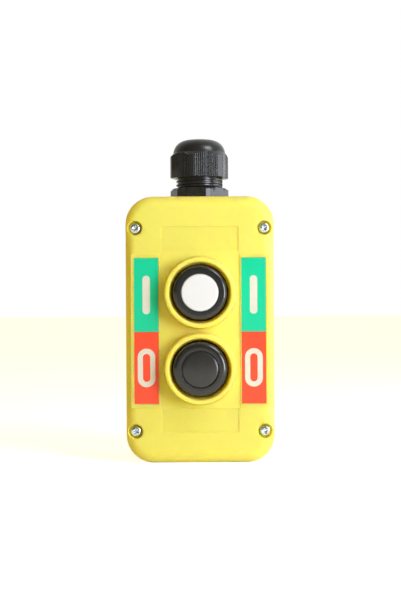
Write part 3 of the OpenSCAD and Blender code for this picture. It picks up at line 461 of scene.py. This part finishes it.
finish = {
    "yellow_casing": moulded("yellow_casing", (0.985, 0.785, 0.138), (0.995, 0.81, 0.153), 0.56,
                             grain=0.25, grain_size=0.00035, scuffs=0.10, soft_edge=0.00025,
                             glow_depth=(6.8, 5.0, 0.25)),
    "green_label": moulded("green_label", (0.0, 0.60, 0.34), (0.002, 0.65, 0.38), 0.22,
                           gloss_drift=0.03, scuffs=0.06, grain=0.03, drift_size=0.008, dust=0.05),
    "red_label": moulded("red_label", (0.92, 0.062, 0.022), (0.96, 0.085, 0.034), 0.22,
                         gloss_drift=0.03, scuffs=0.06, grain=0.03, drift_size=0.008, dust=0.05),
    "ivory_print": moulded("ivory_print", (0.68, 0.68, 0.62), (0.74, 0.74, 0.69), 0.42,
                           grain=0.08, drift_size=0.004, dust=0.03),
    "black_nylon": moulded("black_nylon", (0.012, 0.012, 0.012), (0.017, 0.017, 0.0175), 0.27,
                           gloss_drift=0.02, grain=0.012, scuffs=0.05, dust=0.08, ior=1.52),
    "boot_rubber": moulded("boot_rubber", (0.010, 0.0115, 0.0115), (0.018, 0.020, 0.020), 0.16,
                           gloss_drift=0.02, grain=0.05, grain_size=0.0003, drift_size=0.006,
                           dust=0.20, ior=1.52),
    "gasket_rubber": moulded("gasket_rubber", (0.018, 0.018, 0.018), (0.03, 0.03, 0.03), 0.62,
                             grain=0.2, drift_size=0.005),
    "white_disc": moulded("white_disc", (0.745, 0.785, 0.85), (0.775, 0.815, 0.88), 0.30,
                          grain=0.04, drift_size=0.006, dust=0.05),
    "black_disc": moulded("black_disc", (0.017, 0.0175, 0.0175), (0.028, 0.0285, 0.0285), 0.22,
                          grain=0.20, grain_size=0.0003, drift_size=0.004, dust=0.10),
    "grey_nylon": moulded("grey_nylon", (0.17, 0.175, 0.185), (0.21, 0.215, 0.225), 0.45),
    "black_case": moulded("black_case", (0.02, 0.02, 0.022), (0.03, 0.03, 0.032), 0.42),
    "white_carrier": moulded("white_carrier", (0.74, 0.74, 0.71), (0.80, 0.80, 0.77), 0.45),
}
print("mouldings:", len(finish))

# %% [markdown]
# ## Metals
#
# Zinc plate, brass and spring wire reflect the studio, so their look is in how the
# reflection spreads. A fine grain gives the bump, and the gloss drifts along with the
# tone, which in the plate goes from a cold grey to a paler one.

# %% Metals
MARK_HEIGHT = 0.00005


def metal(name, colour, second, roughness, gloss_drift=0.08, marks=0.1):
    material, tree = new_material(name)
    output = add_node(tree, "ShaderNodeOutputMaterial")
    skin = add_node(tree, "ShaderNodeBsdfPrincipled", Metallic=1.0)
    texture = place_group(tree, grain_group, **{"Grain size": 0.0002, "Drift size": 0.0015})
    tones = add_node(tree, "ShaderNodeMix", data_type="RGBA")
    tones.inputs[6].default_value = rgba(colour)
    tones.inputs[7].default_value = rgba(second)
    gloss = add_node(tree, "ShaderNodeMapRange")
    gloss.inputs["To Min"].default_value = roughness - gloss_drift
    gloss.inputs["To Max"].default_value = roughness + gloss_drift
    bump = add_node(tree, "ShaderNodeBump", Strength=marks, Distance=MARK_HEIGHT)
    tree.links.new(texture.outputs["Drift"], tones.inputs[0])
    tree.links.new(tones.outputs[2], skin.inputs["Base Color"])
    tree.links.new(texture.outputs["Drift"], gloss.inputs["Value"])
    tree.links.new(gloss.outputs[0], skin.inputs["Roughness"])
    tree.links.new(texture.outputs["Grain"], bump.inputs["Height"])
    tree.links.new(bump.outputs[0], skin.inputs["Normal"])
    tree.links.new(skin.outputs[0], output.inputs["Surface"])
    return material


finish["zinc_plated_steel"] = metal("zinc_plated_steel", (0.42, 0.50, 0.56), (0.64, 0.68, 0.69), 0.22)
finish["brass"] = metal("brass", (0.78, 0.58, 0.26), (0.84, 0.66, 0.34), 0.28)
finish["spring_steel"] = metal("spring_steel", (0.48, 0.49, 0.50), (0.58, 0.58, 0.58), 0.25)
finish["contact_brass"] = metal("contact_brass", (0.72, 0.55, 0.26), (0.82, 0.64, 0.34), 0.32)
for row in frame["record"]["subparts"]:
    mesh = nodes[row["node"]].data
    mesh.materials.clear()
    mesh.materials.append(finish[row["material_slot"]])
print("finishes:", len(finish))

# %% [markdown]
# ## Turned and swept pieces
#
# Most of the small pieces are round: boots, discs, nut, gland. They are all made by one
# tool, a grid of points that goes round an axis. Each row of the grid is a function of
# the angle, so that the same tool makes a plain turned ring, a hexagon with rounded
# corners or the flank of a thread. Blender's Screw modifier turns a profile too, but it
# can't vary the profile round the axis.

# %% The ring tool
SAME_POINT = 1e-7


def ring_mesh(name, rows, steps):
    """rows: functions of the turn (0 to 1) that give (radius, height). Rows run round
    the section, counter-clockwise seen with the axis on the left."""
    mesh = bmesh.new()
    grid = []
    for row in rows:
        line = []
        for i in range(steps):
            turn = i / steps
            radius, height = row(turn)
            angle = 2 * math.pi * turn
            line.append(mesh.verts.new((radius * math.cos(angle), radius * math.sin(angle), height)))
        grid.append(line)
    for k, low in enumerate(grid):
        high = grid[(k + 1) % len(grid)]
        for i in range(steps):
            j = (i + 1) % steps
            mesh.faces.new((low[i], low[j], high[j], high[i]))
    bmesh.ops.remove_doubles(mesh, verts=mesh.verts, dist=SAME_POINT)
    bmesh.ops.dissolve_degenerate(mesh, edges=mesh.edges, dist=SAME_POINT)
    bmesh.ops.recalc_face_normals(mesh, faces=mesh.faces)
    data = bpy.data.meshes.new(name)
    mesh.to_mesh(data)
    mesh.free()
    return data


def turned(profile):
    """Rows for a plain turned piece from (radius, height) points in millimetres."""
    return [lambda turn, p=point: (p[0] * MM, p[1] * MM) for point in profile]


def arc(x, y, radius, start, stop, count, stretch=1.0):
    """Points on an arc, angles in degrees. stretch makes it wider than it is high."""
    angles = [math.radians(start + (stop - start) * i / count) for i in range(count + 1)]
    return [(x + radius * stretch * math.cos(a), y + radius * math.sin(a)) for a in angles]


# %% [markdown]
# A piece made this way stands on its own axis. To finish it, it is smoothed, painted and
# laid in its place, and most pieces are then tied to the body that they move with. What it
# stands for in the engineering model is named too, so that the plain solid isn't shown with it.

# %% Finish a piece
FACING_FRONT = (math.radians(90), 0, 0)


def finish_piece(name, data, slot, replaced, place=(0, 0, 0), rotation=(0, 0, 0), sharp=35):
    piece = bpy.data.objects.new(name, data)
    scene.collection.objects.link(piece)
    data.materials.append(finish[slot])
    data.shade_smooth()
    data.set_sharp_from_angle(angle=math.radians(sharp))
    piece.location = place
    piece.rotation_euler = rotation
    bpy.context.view_layer.update()
    data.transform(piece.matrix_world)
    piece.matrix_world.identity()
    piece.location = (0, 0, 0)
    piece.rotation_euler = (0, 0, 0)
    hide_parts(*replaced)
    return piece


def middle(node):
    low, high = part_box(node)
    return (low + high) / 2


# %% [markdown]
# ## The rubber boots
#
# A boot keeps water out of the button. Its foot is clamped under the collar's floor, a
# thin skirt rises from it, and a thick roof covers the plunger's head. When the button
# is pressed, the roof goes down while the foot stays, and the skirt folds. The outer
# edge of the roof is a wide soft shoulder, which catches the lamp.

# %% Boots
BOOT_STEPS = 128
ROOF = 9.02
SHOULDER = 2.0
SHOULDER_OUT = 14.4
FOOT_IN = 11.3
FOOT_OUT = 14.9
FOOT_LOW = -1.5
FOOT_TOP = -0.3
FOOT_EDGE = 0.3
LIP_IN = 10.05
LIP_TOP = 9.0
LIP_EDGE = 0.15
ROOF_UNDERSIDE = 7.6
SHOULDER_STRETCH = {"upper": 1.05, "lower": 1.4}

# Each fold of the skirt: its middle (radius, height), its own radius, the angles, steps
FOLDS = (
    (13.5, 1.4, 0.7, -60, 60, 6),
    (14.4, 2.3, 0.35, 225, 135, 4),
    (13.6, 3.4, 0.8, -50, 50, 6),
    (14.5, 4.5, 0.4, 225, 150, 4),
)


def boot_outside(stretch):
    """From the foot up to the shoulder, which stretch makes wider than it is high."""
    points = [(FOOT_IN, FOOT_LOW), (FOOT_OUT, FOOT_LOW)]
    points += arc(FOOT_OUT, FOOT_LOW + FOOT_EDGE, FOOT_EDGE, -90, 0, 4)
    points += arc(FOOT_OUT, FOOT_TOP - FOOT_EDGE, FOOT_EDGE, 0, 90, 4)
    points += [(13.9, 0.1)]
    for fold in FOLDS:
        points += arc(*fold)
    points += [(14.2, 5.1), (14.35, 5.6), (SHOULDER_OUT, 6.2)]
    return points + arc(SHOULDER_OUT - SHOULDER * stretch, ROOF - SHOULDER, SHOULDER, 0, 90, 18, stretch)


def boot_inside():
    """From the lip round the disc's hole, under the roof, down to the foot."""
    points = [(10.4, LIP_TOP)] + arc(LIP_IN + LIP_EDGE, LIP_TOP - LIP_EDGE, LIP_EDGE, 90, 180, 4)
    points += [(LIP_IN, ROOF_UNDERSIDE), (12.7, ROOF_UNDERSIDE), (12.95, 7.4), (13.1, 6.8)]
    points += [(13.0, 5.4), (12.8, 4.6), (13.0, 3.4), (12.8, 2.4), (12.9, 1.4), (12.8, 0.4)]
    return points + [(13.0, FOOT_TOP), (FOOT_IN, FOOT_TOP)]


for side, stretch in SHOULDER_STRETCH.items():
    node = f"{side}_boot"
    centre = middle(node)
    data = ring_mesh(node, turned(boot_outside(stretch) + boot_inside()), BOOT_STEPS)
    boot = finish_piece(node + "_rubber", data, "boot_rubber", [node],
                        place=(0, FACE_Y, centre.z), rotation=FACING_FRONT, sharp=50)
    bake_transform(boot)
    print(boot.name, len(boot.data.vertices), "points")

# %% [markdown]
# ## The marker discs
#
# A white disc marks the upper button and a black one the lower. The white disc nearly
# fills its hole in the boot. The black one is smaller, so that a dark groove shows round
# it, and the bevel at its edge catches the lamp. Both are plain turned pieces with a
# flange that closes the groove's floor, and the black one is crowned a little.

# %% Discs
DISC_STEPS = 96
DISC_TOP = 9.2
BEVEL_SLOPE = math.tan(math.radians(21))
BEVEL_END_R = 0.04
BEVEL_END_H = 0.015
FACE_SHARES = (0.995, 0.85, 0.7, 0.5, 0.3, 0.12)
FLANGE_R = 9.95
FLANGE_LOW = 7.6
PEG_R = 2
PEG_LOW = 6.8
AXIS_R = 0.001


def disc_profile(radius, edge, crown, bevel):
    """The disc's section: peg, flange, rounded edge, bevel and crowned face."""
    face_r = radius - edge - bevel
    face_h = DISC_TOP - crown
    rim_top = face_h - bevel * BEVEL_SLOPE
    peg = [(AXIS_R, PEG_LOW), (PEG_R, PEG_LOW), (PEG_R, FLANGE_LOW)]
    flange = [(FLANGE_R, FLANGE_LOW), (FLANGE_R, FLANGE_LOW + 0.15), (radius, FLANGE_LOW + 0.25)]
    rim = arc(radius - edge, rim_top - edge, edge, 0, 70, 6)
    rim += [(face_r + bevel - BEVEL_END_R, rim_top + BEVEL_END_H)]
    rim += [(face_r + BEVEL_END_R, face_h - BEVEL_END_H)]
    face = [(face_r * share, DISC_TOP - crown * share ** 2) for share in FACE_SHARES]
    return peg + flange + rim + face + [(AXIS_R, DISC_TOP)]


# Side, finish, radius, edge radius, crown and bevel in millimetres
DISCS = (
    ("upper", "white_disc", 9.75, 0.25, 0.0, 0.1),
    ("lower", "black_disc", 9.5, 0.15, 0.4, 0.7),
)
for side, slot, radius, edge, crown, bevel in DISCS:
    node = f"{side}_disc"
    data = ring_mesh(node, turned(disc_profile(radius, edge, crown, bevel)), DISC_STEPS)
    piece = finish_piece(node + "_marker", data, slot, [node],
                         place=(0, FACE_Y, middle(node).z), rotation=FACING_FRONT)
    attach(piece, f"{side}_button")
    print(piece.name, f"{2 * radius:.1f} mm across")

# %% [markdown]
# ## The gland's dome nut
#
# The nut that tightens the gland is a hexagon whose corners are cut off flat, and cut by
# a cone at the top, with fine grip ribs on its flats and a round dome above. Three simple
# outlines give it: the ribbed hexagon, the cone and the dome. At every angle the
# surface first follows the hexagon, then the cone and then the dome, so each column of
# the grid is laid out between the heights where they meet. That keeps the curved edge
# between cone and flat perfectly clean, which a boolean cut of three solids would not.

# %% Hexagon outline
GLAND_Y = middle("gland_body").y
GLAND_TOP_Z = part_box("rear_housing")[1].z
HEX_FLAT = 14.9 * MM
HEX_CORNER = HEX_FLAT / math.cos(math.radians(30))
CORNER_CUT = 0.85 * MM


def hexagon(turn, twist):
    """Radius of a hexagon with its corners cut off, in the direction turn (0 to 1)."""
    angle = abs((360 * turn - twist) % 60 - 30)
    flat = HEX_FLAT / math.cos(math.radians(angle))
    cut = (HEX_CORNER - CORNER_CUT) / math.cos(math.radians(30 - angle))
    return min(flat, cut)


print(f"hexagon {2 * HEX_FLAT / MM:.1f} mm across flats")

# %% Dome nut
NUT_TWIST = 14
NUT_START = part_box("gland_dome_nut")[0].z
NUT_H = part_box("gland_dome_nut")[1].z - NUT_START
RIB_PITCH = 1.16 * MM
RIB_COUNT = 12
RIB_DEPTH = 0.35 * MM
GROOVE_GAIN = 1.8
NUT_STEPS = 1080
NUT_EDGE = 0.3 * MM
DOME_R = 14.6 * MM
DOME_ROUND = 7.9 * MM
DOME_STEPS = 13
DOME_LAST = 78
CONE_FOOT = 11.2 * MM
CONE_SLOPE = 1.08

# Where rows lie on the flats, on the cone and on the rise to the dome, each from 0 to 1
FLAT_SHARES = (0.0, 0.5, 0.97)
CONE_SHARES = (0.0, 0.25, 0.5, 0.75, 1.0)
RISE_SHARES = (0.35, 0.7, 1.0)

# From the dome's last angle into the mouth: radius, and height against the nut's top
MOUTH = ((7.35, -0.03), (7.12, -0.12), (7.0, -0.35))

# The nut's inside, from the mouth down past the cone and the thread's relief
NUT_INSIDE = (
    (7.0, 19.1), (7.4, 19.1), (10.6, 13.95), (11.0, 13.95), (11.0, 12.25), (10.5, 12.25),
    (10.5, 11.75), (13.2, 11.75), (13.2, 0.4), (13.5, 0.0),
)


def groove(turn):
    """Depth of the groove between two grip ribs, in the direction turn."""
    angle = math.radians((360 * turn - NUT_TWIST) % 60 - 30)
    along = HEX_FLAT * math.tan(angle) / RIB_PITCH
    if abs(along) > RIB_COUNT / 2:
        return 0.0
    wave = 0.5 - 0.5 * math.cos(2 * math.pi * along)
    return RIB_DEPTH * max(0.0, GROOVE_GAIN * wave - GROOVE_GAIN + 1)


def nut_flat(turn):
    return hexagon(turn, NUT_TWIST) - groove(turn)


def cone_height(radius):
    """Height at which the corner cone has this radius."""
    return CONE_FOOT + (HEX_CORNER - radius) * CONE_SLOPE


def dome_point(share):
    """A point on the dome's rounding: share 0 at its foot, 1 at its flat top."""
    angle = math.radians(90 * share)
    return (DOME_R - DOME_ROUND * (1 - math.cos(angle)), NUT_H - DOME_ROUND * (1 - math.sin(angle)))


def nut_rows():
    rows = [lambda turn: (nut_flat(turn) - NUT_EDGE, 0)]
    for share in FLAT_SHARES:
        def on_flat(turn, s=share):
            radius = nut_flat(turn)
            return radius, NUT_EDGE + s * (cone_height(radius) - NUT_EDGE)
        rows.append(on_flat)
    for share in CONE_SHARES:
        def on_cone(turn, s=share):
            outer = nut_flat(turn)
            radius = outer + (DOME_R - outer) * s
            return radius, cone_height(radius)
        rows.append(on_cone)
    foot = cone_height(DOME_R)
    dome_start = NUT_H - DOME_ROUND
    for share in RISE_SHARES:
        rows.append(lambda turn, s=share: (DOME_R, foot + (dome_start - foot) * s))
    for k in range(1, DOME_STEPS + 1):
        rows.append(lambda turn, s=DOME_LAST / 90 * k / DOME_STEPS: dome_point(s))
    for radius, height in MOUTH:
        rows.append(lambda turn, r=radius, h=height: (r * MM, NUT_H + h * MM))
    return rows + turned(NUT_INSIDE)


data = ring_mesh("dome_nut", nut_rows(), NUT_STEPS)
nut = finish_piece("gland_nut_ribbed", data, "black_nylon", ["gland_dome_nut"],
                   place=(0, GLAND_Y, NUT_START), sharp=28)
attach(nut, "dome_nut")
print(nut.name, len(nut.data.vertices), "points")

# %% [markdown]
# ## The gland's body and its thread
#
# Below the nut shows the gland's own hexagon, and between the two a few turns of real
# thread. A thread is a ridge that climbs by one pitch in each turn, so each row of the
# grid climbs round the axis as the ridge does. At both ends the rows are held at the
# thread's limits, where the ridge runs out. Rings would be simpler, but the eye finds
# the slant of a real thread at once.

# %% Thread rows
# One pitch of the ridge: how far along the pitch, and how proud, both from 0 to 1
RIDGE = ((0.0, 0.0), (0.12, 0.0), (0.35, 1.0), (0.5, 1.0), (0.62, 1.0), (0.85, 0.0))
RUNOUT = 0.35


def thread_rows(radius, depth, pitch, start, stop):
    """Rows that follow a thread from height start to stop, all in millimetres."""
    rows = []
    turns = math.ceil((stop - start) / pitch) + 1
    for lap in range(-1, turns):
        for part, proud in RIDGE:
            def row(turn, lap=lap, part=part, proud=proud):
                height = start + (lap + part + turn) * pitch
                level = min(max(height, start), stop)
                near = min(level - start, stop - level) / (RUNOUT * pitch)
                runout = min(max(near, 0), 1) if level == height else 0
                return (radius - depth + depth * proud * runout) * MM, level * MM
            rows.append(row)
    return rows


print("one pitch of a thread has", len(RIDGE), "rows")

# %% Gland body
GLAND_STEPS = 360
BORE_R = 7.2
O_RING_GROOVE = ((10.65, 0), (11.55, 0), (11.55, 1.2), (12.75, 1.2), (12.75, 0))
HEX_TWIST = -13
HEX_H = 6.3
CHAMFER_R = 14.85
CHAMFER_REACH = 2.4

# Share and height of each row on the hexagon
HEX_ROWS = ((0, 0), (1, 0.7), (1, 3.0), (1, HEX_H - 0.9), (0.1, HEX_H))

# Radius, depth and pitch of each thread, and the heights between which it runs
WALL_THREAD = (11.25, 0.6, 1.5, -9.7, -0.4)
NUT_THREAD = (13.0, 0.9, 2.0, HEX_H + 0.1, 20.4)

# The rim above the thread, and the seat for the claw inside it
GLAND_TOP = ((11.7, 20.8), (10.0, 20.8), (10.0, 11.2), (BORE_R, 11.2))


def body_hexagon(share, height):
    """A row on the hexagon: share 0 at the chamfer's inner end, 1 on the flats."""
    def row(turn):
        full = hexagon(turn, HEX_TWIST)
        limit = (CHAMFER_R + CHAMFER_REACH * share) * MM
        return min(full, limit), height * MM
    return row


def gland_rows():
    rows = turned([(BORE_R, -10), (10.4, -10)])
    rows += thread_rows(*WALL_THREAD)
    rows += turned(O_RING_GROOVE)
    rows += [body_hexagon(share, height) for share, height in HEX_ROWS]
    rows += turned([(13.4, HEX_H), (12.2, HEX_H)])
    rows += thread_rows(*NUT_THREAD)
    return rows + turned(GLAND_TOP)


data = ring_mesh("gland_body", gland_rows(), GLAND_STEPS)
gland = finish_piece("gland_body_threaded", data, "black_nylon", ["gland_body"],
                     place=(0, GLAND_Y, GLAND_TOP_Z), sharp=30)
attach(gland, "housing")
print(gland.name, len(gland.data.vertices), "points")

# %% [markdown]
# ## Screws with a cross recess
#
# Four zinc-plated screws hold the cover. Each head is a low pan with a cross recess,
# and four fine score lines lie between the arms of the cross. The head is a round height
# field: the pan's curve with the recess sunk in it by a soft-edged mask. Four cutting
# bodies and a boolean would give the same recess, but with hard edges.

# %% Screw recess
HEAD_R = 2.9
HEAD_H = 2.1
CROWN_DROP = 0.7
ARM_ENDS = (1.5, 1.9)
ARM_SIDES = (0.30, 0.46)
ARM_DEPTH = 1.5
ARM_RISE = 0.45
CORE_SIDES = (0.6, 1.0)
CORE_DEPTH = 1.3
SCORE_ENDS = (1.6, 1.9)
SCORE_SIDES = (0.08, 0.18)
SCORE_DEPTH = 0.35
DIAGONAL = 0.7071


def smooth(low, high, value):
    t = min(max((value - low) / (high - low), 0), 1)
    return t * t * (3 - 2 * t)


def recess(x, y):
    """Depth of the cross recess at a point of the head, in millimetres."""
    depth = 0.0
    for along, across in ((abs(x), abs(y)), (abs(y), abs(x))):
        arm = (1 - smooth(*ARM_ENDS, along)) * (1 - smooth(*ARM_SIDES, across))
        depth = max(depth, arm * (ARM_DEPTH - ARM_RISE * along))
    core = (1 - smooth(*CORE_SIDES, math.hypot(x, y))) * CORE_DEPTH
    along, across = abs(x + y) * DIAGONAL, abs(x - y) * DIAGONAL
    along, across = max(along, across), min(along, across)
    score = (1 - smooth(*SCORE_ENDS, along)) * (1 - smooth(*SCORE_SIDES, across)) * SCORE_DEPTH
    return max(depth, core, score)


def head_surface(radius, turn):
    angle = 2 * math.pi * turn
    crown = HEAD_H - CROWN_DROP * (radius / HEAD_R) ** 4
    return crown - recess(radius * math.cos(angle), radius * math.sin(angle))


print(f"the recess is {recess(0, 0):.1f} mm deep in a head of {HEAD_H} mm")

# %% [markdown]
# Below its head a screw has a plain neck and then a thread with a blunt point. No two
# screws stop at the same turn, so each one is turned its own way.

# %% Cover screws
SCREW_STEPS = 96
HEAD_RINGS = 30
CENTRE_R = 0.02
RINGS_REACH = 2.55
HEAD_EDGE = ((2.72, 1.38), (2.83, 1.2), (2.89, 0.95), (2.9, 0.5), (2.86, 0.1), (2.7, 0.0), (1.9, 0.0))
NECK = ((1.75, -0.2), (1.75, -9.5))
SCREW_THREAD = (1.75, 0.35, 1.25, -17.7, -9.6)
POINT = ((1.2, -17.8), (0.4, -18.0), (CENTRE_R, -18.0))


def screw_rows():
    rows = []
    for k in range(HEAD_RINGS + 1):
        radius = CENTRE_R + RINGS_REACH * (k / HEAD_RINGS)
        rows.append(lambda turn, r=radius: (r * MM, head_surface(r, turn) * MM))
    upwards = thread_rows(*SCREW_THREAD)
    return rows + turned(HEAD_EDGE) + turned(NECK) + upwards[::-1] + turned(POINT)


screw_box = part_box("cover_screws")
screw_mesh = ring_mesh("cover_screw", screw_rows(), SCREW_STEPS)
SCREW_X = screw_box[1].x - HEAD_R * MM
SCREW_LOW = screw_box[0].z + HEAD_R * MM
SCREW_HIGH = screw_box[1].z - HEAD_R * MM
SEAT_Y = screw_box[0].y + HEAD_H * MM
stops = (
    (-SCREW_X, SCREW_HIGH, 20), (SCREW_X, SCREW_HIGH, 52),
    (-SCREW_X, SCREW_LOW, 33), (SCREW_X, SCREW_LOW, 71),
)
for number, (x, z, stop) in enumerate(stops, start=1):
    piece = finish_piece(f"cover_screw_{number}", screw_mesh.copy(), "zinc_plated_steel", ["cover_screws"],
                         place=(x, SEAT_Y, z), rotation=(math.radians(90), math.radians(stop), 0), sharp=40)
    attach(piece, "housing")
print("screws at x =", round(SCREW_X / MM, 1), "mm")

# %% [markdown]
# ## The springs
#
# Inside, each button has a return spring in its bushing, and its contact block a small
# spring behind the bridge and another behind the carrier. They are wound from wire with
# closed ends, and here each is one tube that follows its helix.

# %% Springs
WIRE_SIDES = 10
STEPS_A_TURN = 36
CLOSED_TURNS = 0.8
BUTTON_TRAVEL = 4.0
CONTACT_TRAVEL = 1.6


def coil_mesh(name, mean_r, wire_r, length, turns):
    """A wire wound round the z axis from height 0 to length, all in millimetres."""
    mesh = bmesh.new()
    count = int(turns * STEPS_A_TURN)
    closed = CLOSED_TURNS * 2 * wire_r
    open_rise = length - 2 * wire_r - 2 * closed
    rings = []
    for i in range(count + 1):
        turn = i / STEPS_A_TURN
        middle_share = min(max((turn - CLOSED_TURNS) / (turns - 2 * CLOSED_TURNS), 0), 1)
        ends = min(turn, CLOSED_TURNS) + max(turn - turns + CLOSED_TURNS, 0)
        height = wire_r + ends * 2 * wire_r + middle_share * open_rise
        angle = 2 * math.pi * turn
        ring = []
        for k in range(WIRE_SIDES):
            around = 2 * math.pi * k / WIRE_SIDES
            radius = mean_r + wire_r * math.cos(around)
            level = height + wire_r * math.sin(around)
            point = (radius * math.cos(angle) * MM, radius * math.sin(angle) * MM, level * MM)
            ring.append(mesh.verts.new(point))
        rings.append(ring)
    for low, high in zip(rings, rings[1:]):
        for k in range(WIRE_SIDES):
            j = (k + 1) % WIRE_SIDES
            mesh.faces.new((low[k], low[j], high[j], high[k]))
    mesh.faces.new(rings[0])
    mesh.faces.new(rings[-1])
    bmesh.ops.recalc_face_normals(mesh, faces=mesh.faces)
    data = bpy.data.meshes.new(name)
    mesh.to_mesh(data)
    mesh.free()
    return data


# Kind, mean and wire diameter, turns, the body at its still end, its joint, its travel
SPRINGS = (
    ("return", 15.6, 1.2, 6, "housing", "button_press", BUTTON_TRAVEL),
    ("carrier", 5.0, 0.6, 5, "housing", "button_press", BUTTON_TRAVEL),
    ("contact", 3.8, 0.6, 5, "{side}_bridge", "bridge_travel", CONTACT_TRAVEL),
)
for side in ("upper", "lower"):
    for kind, mean_d, wire_d, turns, body, joint, travel in SPRINGS:
        node = f"{side}_{kind}_spring"
        low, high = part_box(node)
        length = (high.y - low.y) / MM
        still_end = (middle(node).x, high.y, middle(node).z)
        piece = finish_piece(node + "_coil", coil_mesh(node, mean_d / 2, wire_d / 2, length, turns),
                             "spring_steel", [node], place=still_end, rotation=FACING_FRONT, sharp=60)
        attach(piece, body.format(side=side))
        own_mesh(piece)
        print(piece.name, f"{length:.1f} mm long, {length - travel:.1f} mm when pressed")
